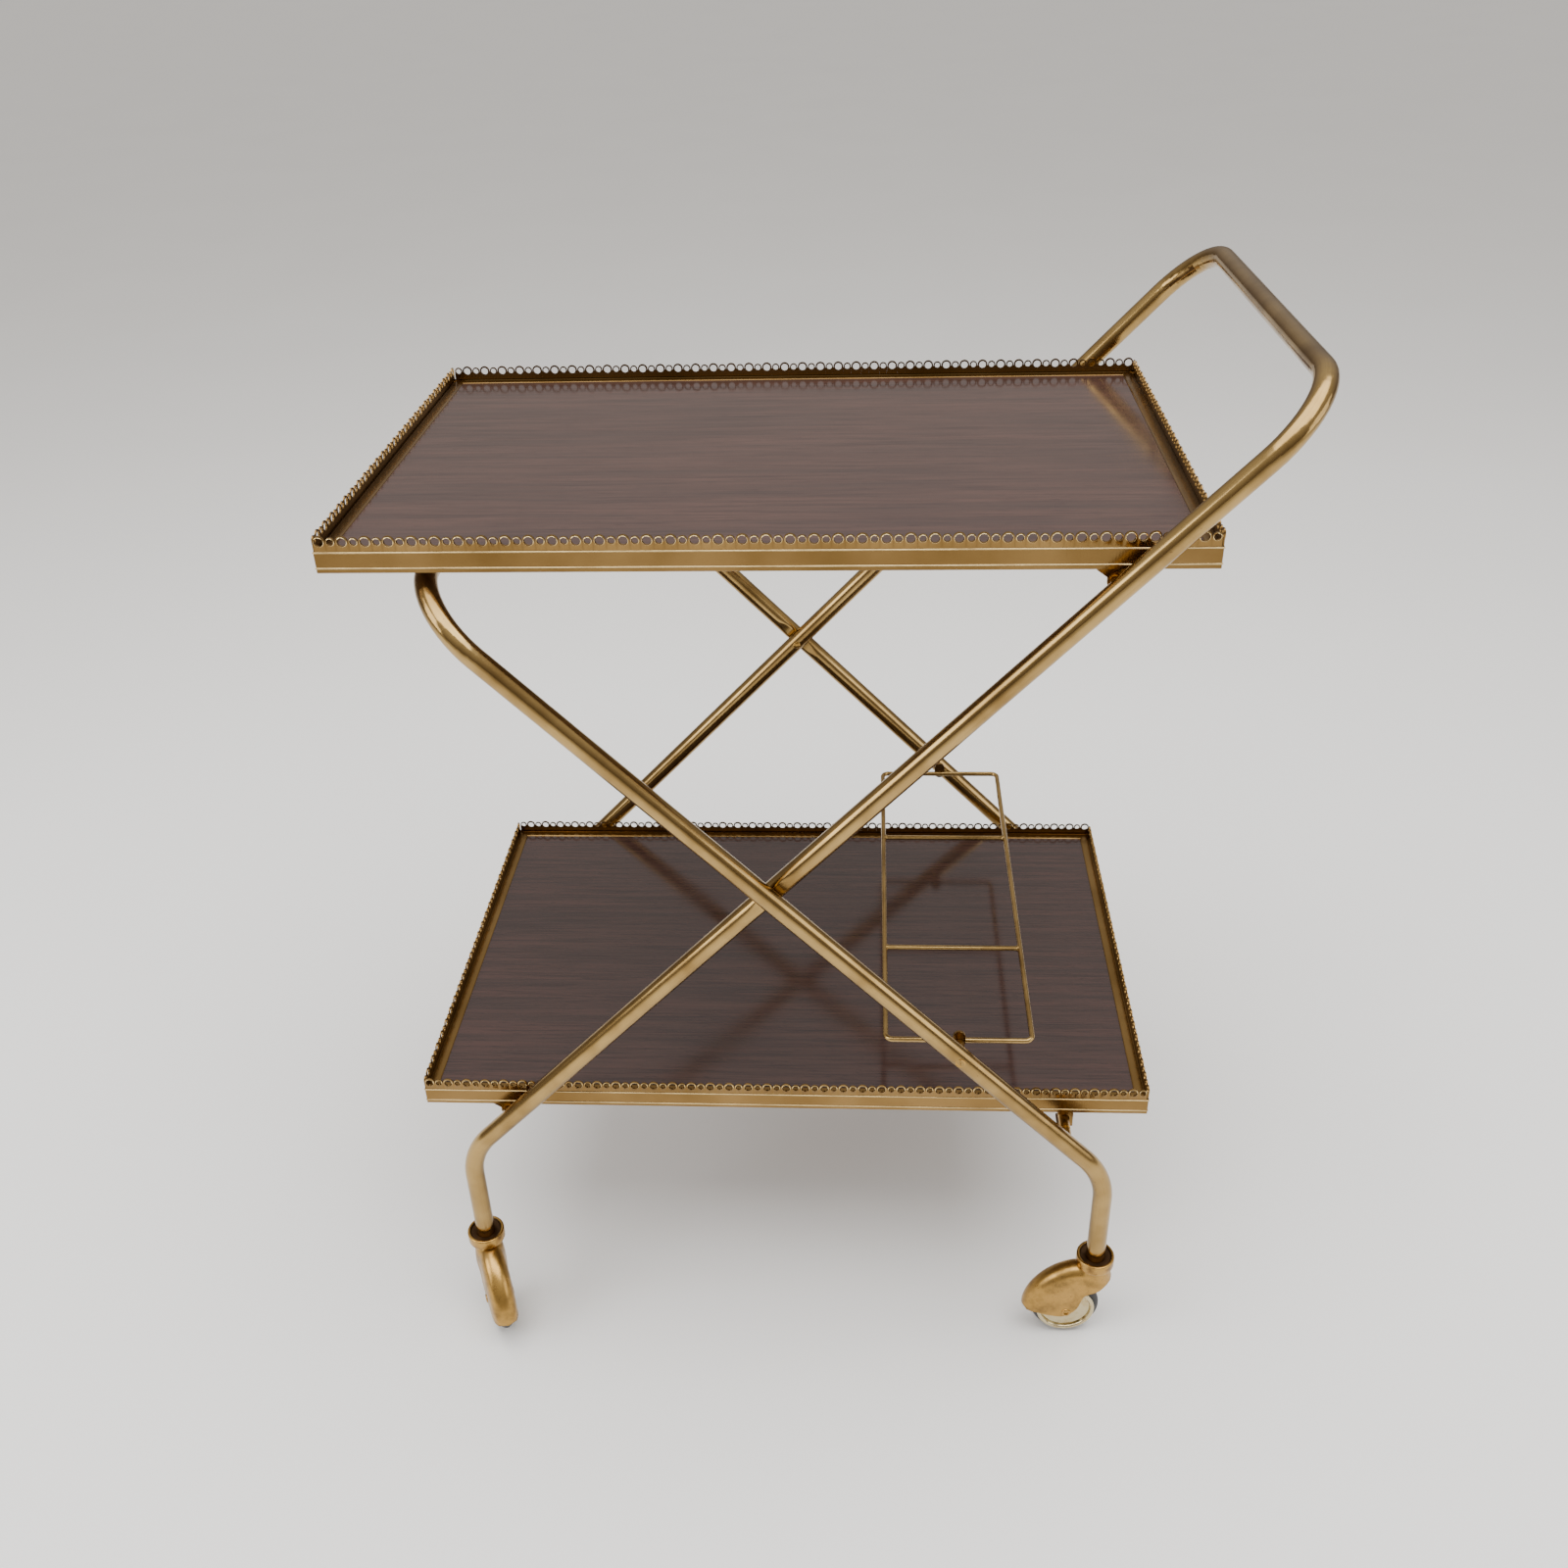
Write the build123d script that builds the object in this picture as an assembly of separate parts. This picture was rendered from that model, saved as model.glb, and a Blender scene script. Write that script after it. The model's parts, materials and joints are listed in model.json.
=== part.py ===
from build123d import *
import os
from math import cos, radians, sin

# A folding serving trolley: two trays on a scissor frame of bent tube, a wire bottle rack
# and four hooded castors.  Millimetres.  +X points to the push handle, -Y is the front,
# +Z is up.  The origin is on the floor, under the middle of the trolley's outline.

# ---- driving dimensions -------------------------------------------------------------------
# scissor frame
TUBE_D = 16.0              # outer diameter of both bent tubes
TUBE_WALL = 1.0
LEG_ANGLE = 46.0           # slope of both legs with the trolley open, from the floor
PIVOT_HEIGHT = 460.0       # scissor pivot above the floor
HINGE_REACH = 335.0        # pivot to each tray's hinge, along the leg
HANDLE_REACH = 513.0       # pivot to the handle's crossbar, along the leg
FOOT_REACH = 382.7         # pivot to the corner above each foot, along the leg
HANDLE_HALF = 208.9        # middle of the trolley to the handle frame's legs
SUPPORT_HALF = 222.5       # middle of the trolley to the support frame's legs
END_BEND = 57.0            # bend radius at the handle and at the support crossbar
FOOT_BEND = 65.0           # bend radius above the feet
DENT_RADIUS = 14.5         # flat of each dent where the tubes cross
DENT_SLOPE = 11.0          # run-out of the dent past its flat
CROSS_GAP = 0.3            # air between the dented tubes

# trays
TRAY_LENGTH = 600.0
TRAY_WIDTH = 394.7
TRAY_DROP = 10.2           # tray's lower edge to its hinge axis
RAIL_HEIGHT = 26.7
RAIL_WALL = 1.0
RIDGE_R = 0.6              # half-round ridges along the rail
LOWER_RIDGE = 3.6          # ridge above the rail's lower edge
UPPER_RIDGE = 14.8
LIP_WIDTH = 9.5            # inner lip that rests on the board round the laminate
LIP_THICKNESS = 1.0
BOARD_RAISE = 0.6          # board's underside above the rail's lower edge
LAMINATE = 0.7
LAMINATE_GAP = 0.1         # laminate inside the lip, all round
HOLE_PITCH = 7.85          # gallery holes alternate large and small
LARGE_RING_D = 8.2
LARGE_HOLE_D = 5.9
SMALL_RING_D = 6.5
SMALL_HOLE_D = 4.4
RING_ROOT = 0.9            # solid strip ends this far under the middle of the holes
CORNER_MARGIN = 5.0        # least distance from a corner to the first hole's middle

# hinges and hooks
EAR_THICKNESS = 2.0
EAR_INSET = 3.5            # ear's outer face inside the rail
EAR_WIDTH = 11.0
EAR_ROOT = 26.0            # width of the ear where it meets its flange
EAR_FLANGE = 18.0
BALL_D = 8.5               # ball spacer between ear and tube
PIN_D = 5.0
HOOK_THICKNESS = 3.0
HOOK_WIDTH = 18.0
HOOK_PLACE = 120.0         # middle of the trolley to each upper hook
HOOK_TAIL = 16.0
HOOK_TIP = 5.0             # jaw past the middle of what it holds
HOOK_GAP = 0.3
STUD_D = 9.0
STUD_HOOK_WIDTH = 12.0
STUD_END = 4.0             # stud past the inner side of its hook
STUD_CHAMFER = 0.8
GROOVE_WIDTH = 1.2
GROOVE_DEPTH = 0.7
SCREW_D = 3.0
SCREW_HEAD_D = 5.6
SCREW_HEAD = 1.6
SCREW_LENGTH = 9.0
SCISSOR_HEAD_D = 7.0
SCISSOR_HEAD = 1.4
RIVET_HEAD = 1.5           # height of the hinge rivets' inner heads
RIVET_FLARE = 1.5          # hinge rivet's head past its shank, all round
UPSET = 1.2                # length and flare of a shank's upset end
TAIL = 1.5                 # fixed shank past the tube's wall, inside the tube
HEAD_ROUND = 0.6           # rounded share of a head's height
RUNNING_FIT = 0.05         # radial clearance of every pin that turns
SEAT_FIT = 0.02            # radial clearance of every pin that is fixed

# bottle rack
RACK_REACH = 206.0         # pivot to the rack's axis, along the support leg
RACK_WIRE = 4.4
RACK_LENGTH = 406.0        # wire middle to wire middle, across the trolley
RACK_WIDTH = 116.0
RACK_BEND = 6.0
RACK_CROSS = 85.0          # middle of the trolley to each cross wire
RACK_TAB_WIDTH = 10.0
RACK_TAB_UP = 6.0          # straight part of the tab above its hole
RACK_TAB = 2.4
RACK_PIN_D = 4.0
RACK_BALL_D = 8.0

# castors
WHEEL_D = 59.0
TRAIL = 22.5               # swivel axis to wheel axis
TYRE_WIDTH = 11.0
TYRE_DEPTH = 13.5
TYRE_ROUND = 4.6
DISC_D = 52.0
DISC_FLANGE = 2.0
RIM_R = 1.3                # rolled edge of the wheel disc
HUB_D = 12.0
HUB_WIDTH = 18.0
AXLE_D = 5.0
AXLE_HEAD_D = 7.0
AXLE_HEAD = 1.2
WHEEL_GAP = 3.0            # air between tyre and hood
HOOD_WIDTH = 23.0
HOOD_WALL = 1.6
HOOD_NECK = 12.0           # solid top of the hood that holds the stem
HOOD_COLLAR = 4.0          # straight top of the neck
HOOD_SHOULDER = 14.0       # hood's full width starts this far under its top
NECK_STEP = 3.0            # neck inside the cup, all round
TAIL_SPACE = 8.0           # hood's tail past the wheel
TAIL_DROP = 4.0            # tail's lower corner under the axle
CROWN_ANGLE = 51.0         # rise of the crown's mid-point, seen from the axle
CROWN_SPACE = 10.3         # crown's mid-point past the wheel
THROAT_HEIGHT = 8.0        # front of the neck
CHEEK_FRONT = 17.7         # cheek's front corner, ahead of the axle and over it
CHEEK_RISE = 19.0
CHEEK_SAG = 12.0           # cheek's lowest point, ahead of the axle and under it
CHEEK_LEAD = 2.0
CHEEK_BACK = 26.5          # cheek's rear corner, behind the axle and under it
CHEEK_DROP = 5.0
CUP_OVER_WHEEL = 21.5      # cup's underside above the top of the wheel
CUP_HEIGHT = 10.0
CUP_D = 32.0
CUP_DISH = 4.0
CUP_RIM = 2.6              # top land of the cup ring
CUP_FLOOR = 1.0            # cup's floor under the tube
CUP_EDGE = 1.5             # rounding of the cup's lower and upper edges
CUP_ROUND = 2.0
DISH_GAP = 1.0             # dish's foot round the tube
HOOD_GAP = 0.5             # hood under the cup
STEM_D = 7.0
STEM_LENGTH = 34.0         # above the hood
STEM_CHAMFER = 1.0
PLUG_LENGTH = 38.0
PLUG_TOP_GAP = 1.0         # air over the stem's end
LEFT_TRAIL_ANGLE = -66.0   # where each front castor trails, from +X; the rear ones mirror it
RIGHT_TRAIL_ANGLE = 182.0
OVERCUT = 1.0              # how far a hole's cutter runs past the metal

# ---- sizes that follow ---------------------------------------------------------------------
TUBE_R = TUBE_D / 2
BORE_R = TUBE_R - TUBE_WALL
HANDLE_TIP = HANDLE_REACH * cos(radians(LEG_ANGLE)) + TUBE_R
PIVOT_X = (TRAY_LENGTH / 2 - HANDLE_TIP) / 2
HINGE_X = HINGE_REACH * cos(radians(LEG_ANGLE))
HINGE_Z = HINGE_REACH * sin(radians(LEG_ANGLE))
FOOT_X = FOOT_REACH * cos(radians(LEG_ANGLE))
UPPER_TRAY_Z = PIVOT_HEIGHT + HINGE_Z + TRAY_DROP
LOWER_TRAY_Z = PIVOT_HEIGHT - HINGE_Z + TRAY_DROP
LENGTH_HALF = TRAY_LENGTH / 2
WIDTH_HALF = TRAY_WIDTH / 2
WALL_OUT = RIDGE_R                          # wall's outer face inside the ridge's crest
WALL_IN = RIDGE_R + RAIL_WALL
BOARD_TOP = UPPER_RIDGE - LIP_THICKNESS
HOLE_Z = RAIL_HEIGHT - LARGE_RING_D / 2
EAR_OUT = WIDTH_HALF - EAR_INSET
WHEEL_R = WHEEL_D / 2
CUP_BOTTOM = WHEEL_D + CUP_OVER_WHEEL
CUP_TOP = CUP_BOTTOM + CUP_HEIGHT
HOOD_TOP = CUP_BOTTOM - HOOD_GAP
HOOD_LENGTH = TRAIL + WHEEL_R + TAIL_SPACE
NECK_R = CUP_D / 2 - NECK_STEP
TUBE_END = CUP_BOTTOM + CUP_FLOOR
CROSS_PLANE = (HANDLE_HALF + SUPPORT_HALF) / 2


def along(reach, slope):
    """A point in the XZ plane at a distance from the scissor pivot, on a leg of this slope."""
    return PIVOT_X + reach * cos(radians(slope)), PIVOT_HEIGHT + reach * sin(radians(slope))


def both_sides(shape):
    """A front piece and its mirror image behind."""
    return [shape, mirror(shape, about=Plane.XZ)]


def pin_y(x, z, y_low, y_high, radius):
    """A cylinder along Y between two places."""
    base = Plane(origin=(x, y_low, z), z_dir=(0, 1, 0))
    return base * extrude(Circle(radius), y_high - y_low)


# ---- bent tubes ----------------------------------------------------------------------------
def bent_tube(radius, half, slope, reach, end_cut=0.0):
    """A solid rod along the frame's middle line: foot, leg, crossbar, leg, foot."""
    foot_x, foot_z = along(-FOOT_REACH, slope)
    top_x, top_z = along(reach, slope)
    low = TUBE_END - end_cut
    points = [(foot_x, -half, low), (foot_x, -half, foot_z), (top_x, -half, top_z)]
    points += [(x, -y, z) for x, y, z in reversed(points)]
    path = FilletPolyline(*points, radius=[FOOT_BEND, END_BEND, END_BEND, FOOT_BEND])
    return sweep(Plane(origin=points[0], z_dir=(0, 0, 1)) * Circle(radius), path=path)


def dent(flat_y, depth_side):
    """The metal pressed away at the crossing: a flat-nosed cone whose flat lies at flat_y."""
    height = TUBE_R
    rise = TUBE_R - (SUPPORT_HALF - HANDLE_HALF) / 2
    wide = DENT_RADIUS + DENT_SLOPE * height / (rise + CROSS_GAP / 2)
    nose = Plane(origin=(PIVOT_X, flat_y, PIVOT_HEIGHT), z_dir=(0, depth_side, 0))
    shape = nose * loft([Circle(DENT_RADIUS), Pos(0, 0, height) * Circle(wide)])
    return both_sides(shape)


def dented_tube(half, slope, reach, side):
    """A hollow bent tube, dented on one side at the crossing; side is +1 for its inner side."""
    outer = bent_tube(TUBE_R, half, slope, reach)
    bore = bent_tube(BORE_R, half, slope, reach, end_cut=OVERCUT)
    flat = -(CROSS_PLANE + side * CROSS_GAP / 2)
    outer_cut = dent(flat, side)
    bore_cut = dent(flat - side * TUBE_WALL, side)
    return (outer - outer_cut) - (bore - bore_cut)


def handle_tube():
    tube = dented_tube(HANDLE_HALF, LEG_ANGLE, HANDLE_REACH, -1)
    x, z = along(0, LEG_ANGLE)
    tube -= both_sides(pin_y(x, z, -SUPPORT_HALF, -HANDLE_HALF + TUBE_D, PIN_D / 2 + SEAT_FIT))
    for reach in (HINGE_REACH, -HINGE_REACH):
        x, z = along(reach, LEG_ANGLE)
        hole = pin_y(x, z, -HANDLE_HALF, -HANDLE_HALF + TUBE_D, PIN_D / 2 + SEAT_FIT)
        tube -= both_sides(hole)
    return tube


def support_tube():
    tube = dented_tube(SUPPORT_HALF, 180 - LEG_ANGLE, HINGE_REACH, 1)
    x, z = along(0, LEG_ANGLE)
    tube -= both_sides(pin_y(x, z, -SUPPORT_HALF, -HANDLE_HALF, PIN_D / 2 + RUNNING_FIT))
    x, z = along(-HINGE_REACH, 180 - LEG_ANGLE)
    hole = pin_y(x, z, -SUPPORT_HALF, -SUPPORT_HALF + TUBE_D, PIN_D / 2 + SEAT_FIT)
    tube -= both_sides(hole)
    x, z = along(-RACK_REACH, 180 - LEG_ANGLE)
    hole = pin_y(x, z, -SUPPORT_HALF - TUBE_D, -SUPPORT_HALF + TUBE_D, RACK_PIN_D / 2 + SEAT_FIT)
    tube -= both_sides(hole)
    return tube


def scissor_rivets():
    """Low head inside the handle frame, shank through both tubes' facing walls, upset end."""
    x, z = along(0, LEG_ANGLE)
    inner = -HANDLE_HALF + TUBE_R
    wall_end = -(CROSS_PLANE + CROSS_GAP / 2 + TUBE_WALL) - HOOK_GAP
    shank = pin_y(x, z, wall_end - UPSET, inner, PIN_D / 2)
    cap = pin_y(x, z, inner, inner + SCISSOR_HEAD, SCISSOR_HEAD_D / 2)
    cap = fillet(cap.edges().group_by(Axis.Y)[-1], SCISSOR_HEAD * HEAD_ROUND)
    end = pin_y(x, z, wall_end - UPSET, wall_end, PIN_D / 2 + UPSET)
    return both_sides(shank + cap + end)


# ---- trays ---------------------------------------------------------------------------------
def hole_places(length):
    """Middles of the gallery holes along a rail, from its own middle; the last one is large."""
    count = int((length - 2 * CORNER_MARGIN) / HOLE_PITCH) + 1
    return [((i - (count - 1) / 2) * HOLE_PITCH, (count - 1 - i) % 2 == 0) for i in range(count)]


def rail(length):
    """One pierced rail along X with its outside towards -Y, mitred at both ends.

    The rail's lower edge is at z = 0 and its ridges' crest at y = 0.
    """
    wall = Pos(0, WALL_OUT + RAIL_WALL / 2, UPPER_RIDGE / 2) * Box(length, RAIL_WALL, UPPER_RIDGE)
    lip_low = UPPER_RIDGE - LIP_THICKNESS
    lip = Box(length, LIP_WIDTH, LIP_THICKNESS)
    lip = Pos(0, WALL_IN + LIP_WIDTH / 2, lip_low + LIP_THICKNESS / 2) * lip
    ridges = [
        Pos(0, WALL_OUT, z) * Rot(0, 90, 0) * Cylinder(RIDGE_R, length)
        for z in (LOWER_RIDGE, UPPER_RIDGE)
    ]
    body = wall + lip + ridges
    mitre_depth = WALL_IN + LIP_WIDTH
    half = length / 2
    outline = Polyline(
        (-half, 0), (half, 0), (half - mitre_depth, mitre_depth),
        (-half + mitre_depth, mitre_depth), close=True,
    )
    body &= extrude(make_face(outline), RAIL_HEIGHT)
    strip_high = HOLE_Z - RING_ROOT
    strip = Pos(0, (UPPER_RIDGE + strip_high) / 2) * Rectangle(
        length - 2 * WALL_IN, strip_high - UPPER_RIDGE)
    rings = [
        Pos(x, HOLE_Z) * Circle((LARGE_RING_D if large else SMALL_RING_D) / 2)
        for x, large in hole_places(length)
    ]
    holes = [
        Pos(x, HOLE_Z) * Circle((LARGE_HOLE_D if large else SMALL_HOLE_D) / 2)
        for x, large in hole_places(length)
    ]
    pierced = (strip + rings) - holes
    face = Plane(origin=(0, WALL_IN, 0), x_dir=(1, 0, 0), z_dir=(0, -1, 0))
    return body + face * extrude(pierced, RAIL_WALL)


def rails(base):
    """The four rails of a tray whose lower edge is at height base."""
    long_rail = rail(TRAY_LENGTH)
    short_rail = rail(TRAY_WIDTH)
    return {
        "rail_front": Pos(0, -WIDTH_HALF, base) * long_rail,
        "rail_back": Pos(0, WIDTH_HALF, base) * Rot(0, 0, 180) * long_rail,
        "rail_left": Pos(-LENGTH_HALF, 0, base) * Rot(0, 0, -90) * short_rail,
        "rail_right": Pos(LENGTH_HALF, 0, base) * Rot(0, 0, 90) * short_rail,
    }


def hinge_ear(x, base):
    """A plate with a flared root and a hole, and a flange inwards under the board."""
    under = base + BOARD_RAISE
    axis_z = base - TRAY_DROP
    side = EAR_WIDTH / 2
    root = EAR_ROOT / 2
    low = under - EAR_THICKNESS
    outline = Polyline((-side, axis_z), (-side, low - side), (-root, low), (-root, under),
                       (root, under), (root, low), (side, low - side), (side, axis_z))
    tip = ThreePointArc((side, axis_z), (0, axis_z - side), (-side, axis_z))
    plate = Plane(origin=(x, -EAR_OUT + EAR_THICKNESS, 0), x_dir=(1, 0, 0), z_dir=(0, -1, 0))
    ear = plate * extrude(make_face([*outline.edges(), tip]), EAR_THICKNESS)
    flange = Box(EAR_ROOT, EAR_FLANGE, EAR_THICKNESS)
    ear += Pos(x, -EAR_OUT + EAR_FLANGE / 2, under - EAR_THICKNESS / 2) * flange
    hole = pin_y(x, axis_z, -EAR_OUT - OVERCUT, -EAR_OUT + EAR_THICKNESS + OVERCUT,
                 PIN_D / 2 + RUNNING_FIT)
    return both_sides(ear - hole)


def hinge_rivets(slope_reach):
    """Fixed in the handle tube's inner wall: ball spacer, shank through the ear, inner head."""
    x, z = along(slope_reach, LEG_ANGLE)
    wall = -HANDLE_HALF + BORE_R
    outside = -HANDLE_HALF + TUBE_R
    head = -EAR_OUT + EAR_THICKNESS + HOOK_GAP
    shank = pin_y(x, z, wall - TAIL, head + RIVET_HEAD, PIN_D / 2)
    middle = (outside - EAR_OUT) / 2
    ball = Pos(x, middle, z) * Sphere(BALL_D / 2)
    trim = pin_y(x, z, outside, -EAR_OUT - HOOK_GAP, BALL_D)
    cap = pin_y(x, z, head, head + RIVET_HEAD, PIN_D / 2 + RIVET_FLARE)
    return both_sides(shank + (ball & trim) + cap)


def hook(x, base, side, radius, y_low, y_high):
    """A jaw round a bar, open towards the trolley's middle; side is +1 where that is +X.

    The flange above the bar fills the space up to the board, the tail takes the screws.
    """
    under = base + BOARD_RAISE
    axis_z = base - TRAY_DROP
    inner = radius + HOOK_GAP
    outer = inner + HOOK_THICKNESS
    block = Pos((HOOK_TIP - outer) / 2, (under + axis_z - outer) / 2) * Rectangle(
        outer + HOOK_TIP, under - axis_z + outer)
    tail = Pos(-outer - HOOK_TAIL / 2, under - EAR_THICKNESS / 2) * Rectangle(
        HOOK_TAIL, EAR_THICKNESS)
    mouth = Pos(outer / 2, axis_z) * Rectangle(outer, 2 * inner)
    shape = block + tail - Pos(0, axis_z) * Circle(inner) - mouth
    plane = Plane(origin=(x, y_high, 0), x_dir=(1, 0, 0), z_dir=(0, -1, 0))
    solid = extrude(shape, y_high - y_low)
    if side < 0:
        solid = mirror(solid, about=Plane.YZ)
    return both_sides(plane * solid)


def screw_places(ear_x, hook_x, side, radius, y_hook, spread):
    """Middles of the screws of one tray's front ear and hook."""
    tail_x = hook_x - side * (radius + HOOK_GAP + HOOK_THICKNESS + HOOK_TAIL / 2)
    ear_y = -EAR_OUT + EAR_FLANGE / 2 + EAR_THICKNESS
    ear = [(ear_x + s * EAR_ROOT / 4, ear_y) for s in (-1, 1)]
    return ear + [(tail_x, y_hook + s * spread) for s in (-1, 1)]


def screws(places, base):
    """Pan-headed screws up into the board, front and back."""
    seat = base + BOARD_RAISE - EAR_THICKNESS
    result = []
    for x, y in places:
        shank = Pos(x, y, seat + SCREW_LENGTH / 2) * Cylinder(SCREW_D / 2, SCREW_LENGTH)
        head = Pos(x, y, seat - SCREW_HEAD / 2) * Cylinder(SCREW_HEAD_D / 2, SCREW_HEAD)
        head = fillet(head.edges().group_by(Axis.Z)[0], SCREW_HEAD * HEAD_ROUND)
        result += both_sides(shank + head)
    return result


def screw_holes(places, base):
    """Clearance for the same screws."""
    height = 2 * SCREW_LENGTH
    hole = Cylinder(SCREW_D / 2 + SEAT_FIT, height)
    high = base + BOARD_RAISE - EAR_THICKNESS + SCREW_LENGTH + SEAT_FIT
    result = []
    for x, y in places:
        result += both_sides(Pos(x, y, high - height / 2) * hole)
    return result


def tray(name, base, ear_side):
    """One tray's nodes; ear_side is +1 where the hinge is at the handle's end."""
    ear_x = PIVOT_X + ear_side * HINGE_X
    hook_x = PIVOT_X - ear_side * HINGE_X
    on_crossbar = ear_side > 0
    radius = TUBE_R if on_crossbar else STUD_D / 2
    width = HOOK_WIDTH if on_crossbar else STUD_HOOK_WIDTH
    y_low = -HOOK_PLACE - width / 2 if on_crossbar else -EAR_OUT
    places = screw_places(ear_x, hook_x, ear_side, radius, y_low + width / 2, width / 4)
    holes = screw_holes(places, base)
    inner_x = TRAY_LENGTH - 2 * WALL_IN
    inner_y = TRAY_WIDTH - 2 * WALL_IN
    board_height = BOARD_TOP - BOARD_RAISE
    board = Pos(0, 0, base + BOARD_RAISE + board_height / 2) * Box(inner_x, inner_y, board_height)
    edge = 2 * (LIP_WIDTH + LAMINATE_GAP)
    skin = Box(inner_x - edge, inner_y - edge, LAMINATE)
    skin = Pos(0, 0, base + BOARD_TOP + LAMINATE / 2) * skin
    moved = {key: Pos(PIVOT_X, 0, 0) * shape for key, shape in rails(base).items()}
    made = {f"{name}_{key}": shape for key, shape in moved.items()}
    made[f"{name}_board"] = Pos(PIVOT_X, 0, 0) * board - holes
    made[f"{name}_laminate"] = Pos(PIVOT_X, 0, 0) * skin
    made[f"{name}_hinge_ears"] = [ear - holes for ear in hinge_ear(ear_x, base)]
    made[f"{name}_hooks"] = [
        jaw - holes for jaw in hook(hook_x, base, ear_side, radius, y_low, y_low + width)
    ]
    made[f"{name}_plate_screws"] = screws(places, base)
    made[f"{name}_hinge_rivets"] = hinge_rivets(ear_side * HINGE_REACH)
    return made


def tray_studs():
    """Turned studs on the support legs that carry the lower tray's right end."""
    x, z = along(-HINGE_REACH, 180 - LEG_ANGLE)
    outside = -SUPPORT_HALF + TUBE_R
    end = -EAR_OUT + STUD_HOOK_WIDTH + STUD_END
    barrel = pin_y(x, z, outside, end, STUD_D / 2)
    barrel = chamfer(barrel.edges().group_by(Axis.Y)[-1], STUD_CHAMFER)
    low = (outside - WIDTH_HALF - GROOVE_WIDTH) / 2
    high = low + GROOVE_WIDTH
    groove = pin_y(x, z, low, high, STUD_D) - pin_y(x, z, low, high, STUD_D / 2 - GROOVE_DEPTH)
    tenon = pin_y(x, z, outside - TUBE_WALL - TAIL, outside, PIN_D / 2)
    return both_sides(barrel - groove + tenon)


# ---- bottle rack ---------------------------------------------------------------------------
def rack():
    """Wire frame, cross wires and tabs, level on the support legs, with its two rivets."""
    x, z = along(-RACK_REACH, 180 - LEG_ANGLE)
    path = Pos(x, 0, z) * RectangleRounded(RACK_WIDTH, RACK_LENGTH, RACK_BEND).wire()
    start = Plane(origin=path.position_at(0), z_dir=path.tangent_at(0))
    frame = sweep(start * Circle(RACK_WIRE / 2), path=path)
    cross = []
    for y in (-RACK_CROSS, RACK_CROSS):
        wire = Pos(x, y, z) * Rot(0, 90, 0) * Cylinder(RACK_WIRE / 2, RACK_WIDTH)
        cross.append(wire - frame)
    tab_in = -RACK_LENGTH / 2 - RACK_WIRE / 4
    outline = Pos(0, RACK_TAB_UP / 2) * SlotCenterToCenter(RACK_TAB_UP, RACK_TAB_WIDTH, rotation=90)
    plane = Plane(origin=(x, tab_in, z), x_dir=(1, 0, 0), z_dir=(0, -1, 0))
    tab = plane * extrude(outline, RACK_TAB) - frame
    tab_out = tab_in - RACK_TAB
    tab -= pin_y(x, z, tab_out - OVERCUT, tab_in + OVERCUT, RACK_PIN_D / 2 + RUNNING_FIT)
    wire_out = -(RACK_LENGTH + RACK_WIRE) / 2
    shank = pin_y(x, z, -SUPPORT_HALF - TUBE_R, wire_out - HOOK_GAP, RACK_PIN_D / 2)
    ball = Pos(x, -SUPPORT_HALF - TUBE_R, z) * Sphere(RACK_BALL_D / 2)
    seat = pin_y(x, z, -SUPPORT_HALF - TUBE_D, -SUPPORT_HALF - TUBE_R, TUBE_D)
    collar = pin_y(x, z, -SUPPORT_HALF + TUBE_R, tab_out - HOOK_GAP, RACK_BALL_D / 2)
    return {
        "rack_frame": frame,
        "rack_cross_wires": cross,
        "rack_tabs": both_sides(tab),
        "rack_rivets": both_sides(shank + (ball & seat) + collar),
    }


# ---- castors -------------------------------------------------------------------------------
def hood_outline(inset):
    """The hood's side view: x is along the trail, y is height; inset moves it inwards."""
    tail = (HOOD_LENGTH - inset, WHEEL_R - TAIL_DROP)
    reach = WHEEL_R + CROWN_SPACE
    crown = (TRAIL + reach * cos(radians(CROWN_ANGLE)) - inset,
             WHEEL_R + reach * sin(radians(CROWN_ANGLE)) - inset)
    neck = NECK_R - inset
    top = HOOD_TOP - inset
    throat = (-neck, HOOD_TOP - THROAT_HEIGHT + inset)
    cheek_front = (TRAIL - CHEEK_FRONT + inset, WHEEL_R + CHEEK_RISE + inset)
    cheek_low = (TRAIL - CHEEK_LEAD, WHEEL_R - CHEEK_SAG + inset)
    cheek_back = (TRAIL + CHEEK_BACK - inset, WHEEL_R - CHEEK_DROP)
    return make_face([
        ThreePointArc(tail, crown, (neck, top)),
        *Polyline((neck, top), (-neck, top), throat, cheek_front).edges(),
        ThreePointArc(cheek_front, cheek_low, cheek_back),
        Line(cheek_back, tail),
    ])


def hood_mass(inset):
    """Side view, front view and plan of the hood, each drawn through, and what they share."""
    half = HOOD_WIDTH / 2 - inset
    neck = NECK_R - inset
    side = Plane(origin=(0, CUP_D, 0), x_dir=(1, 0, 0), z_dir=(0, -1, 0))
    side = side * extrude(hood_outline(inset), 2 * CUP_D)
    plan = Pos(HOOD_LENGTH / 2 - inset, 0) * Rectangle(HOOD_LENGTH, 2 * half)
    plan = fillet(plan.vertices().group_by(Axis.X)[-1], half - RUNNING_FIT)
    plan += Circle(neck)
    shoulder = HOOD_TOP - HOOD_SHOULDER
    collar = HOOD_TOP - HOOD_COLLAR
    outline = Polyline((-half, 0), (-half, shoulder), (-neck, collar), (-neck, HOOD_TOP),
                       (neck, HOOD_TOP), (neck, collar), (half, shoulder), (half, 0), close=True)
    front = Plane(origin=(-CUP_D, 0, 0), x_dir=(0, 1, 0), z_dir=(1, 0, 0))
    front = front * extrude(make_face(outline), HOOD_LENGTH + 2 * CUP_D)
    return side & front & extrude(plan, HOOD_TOP)


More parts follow.
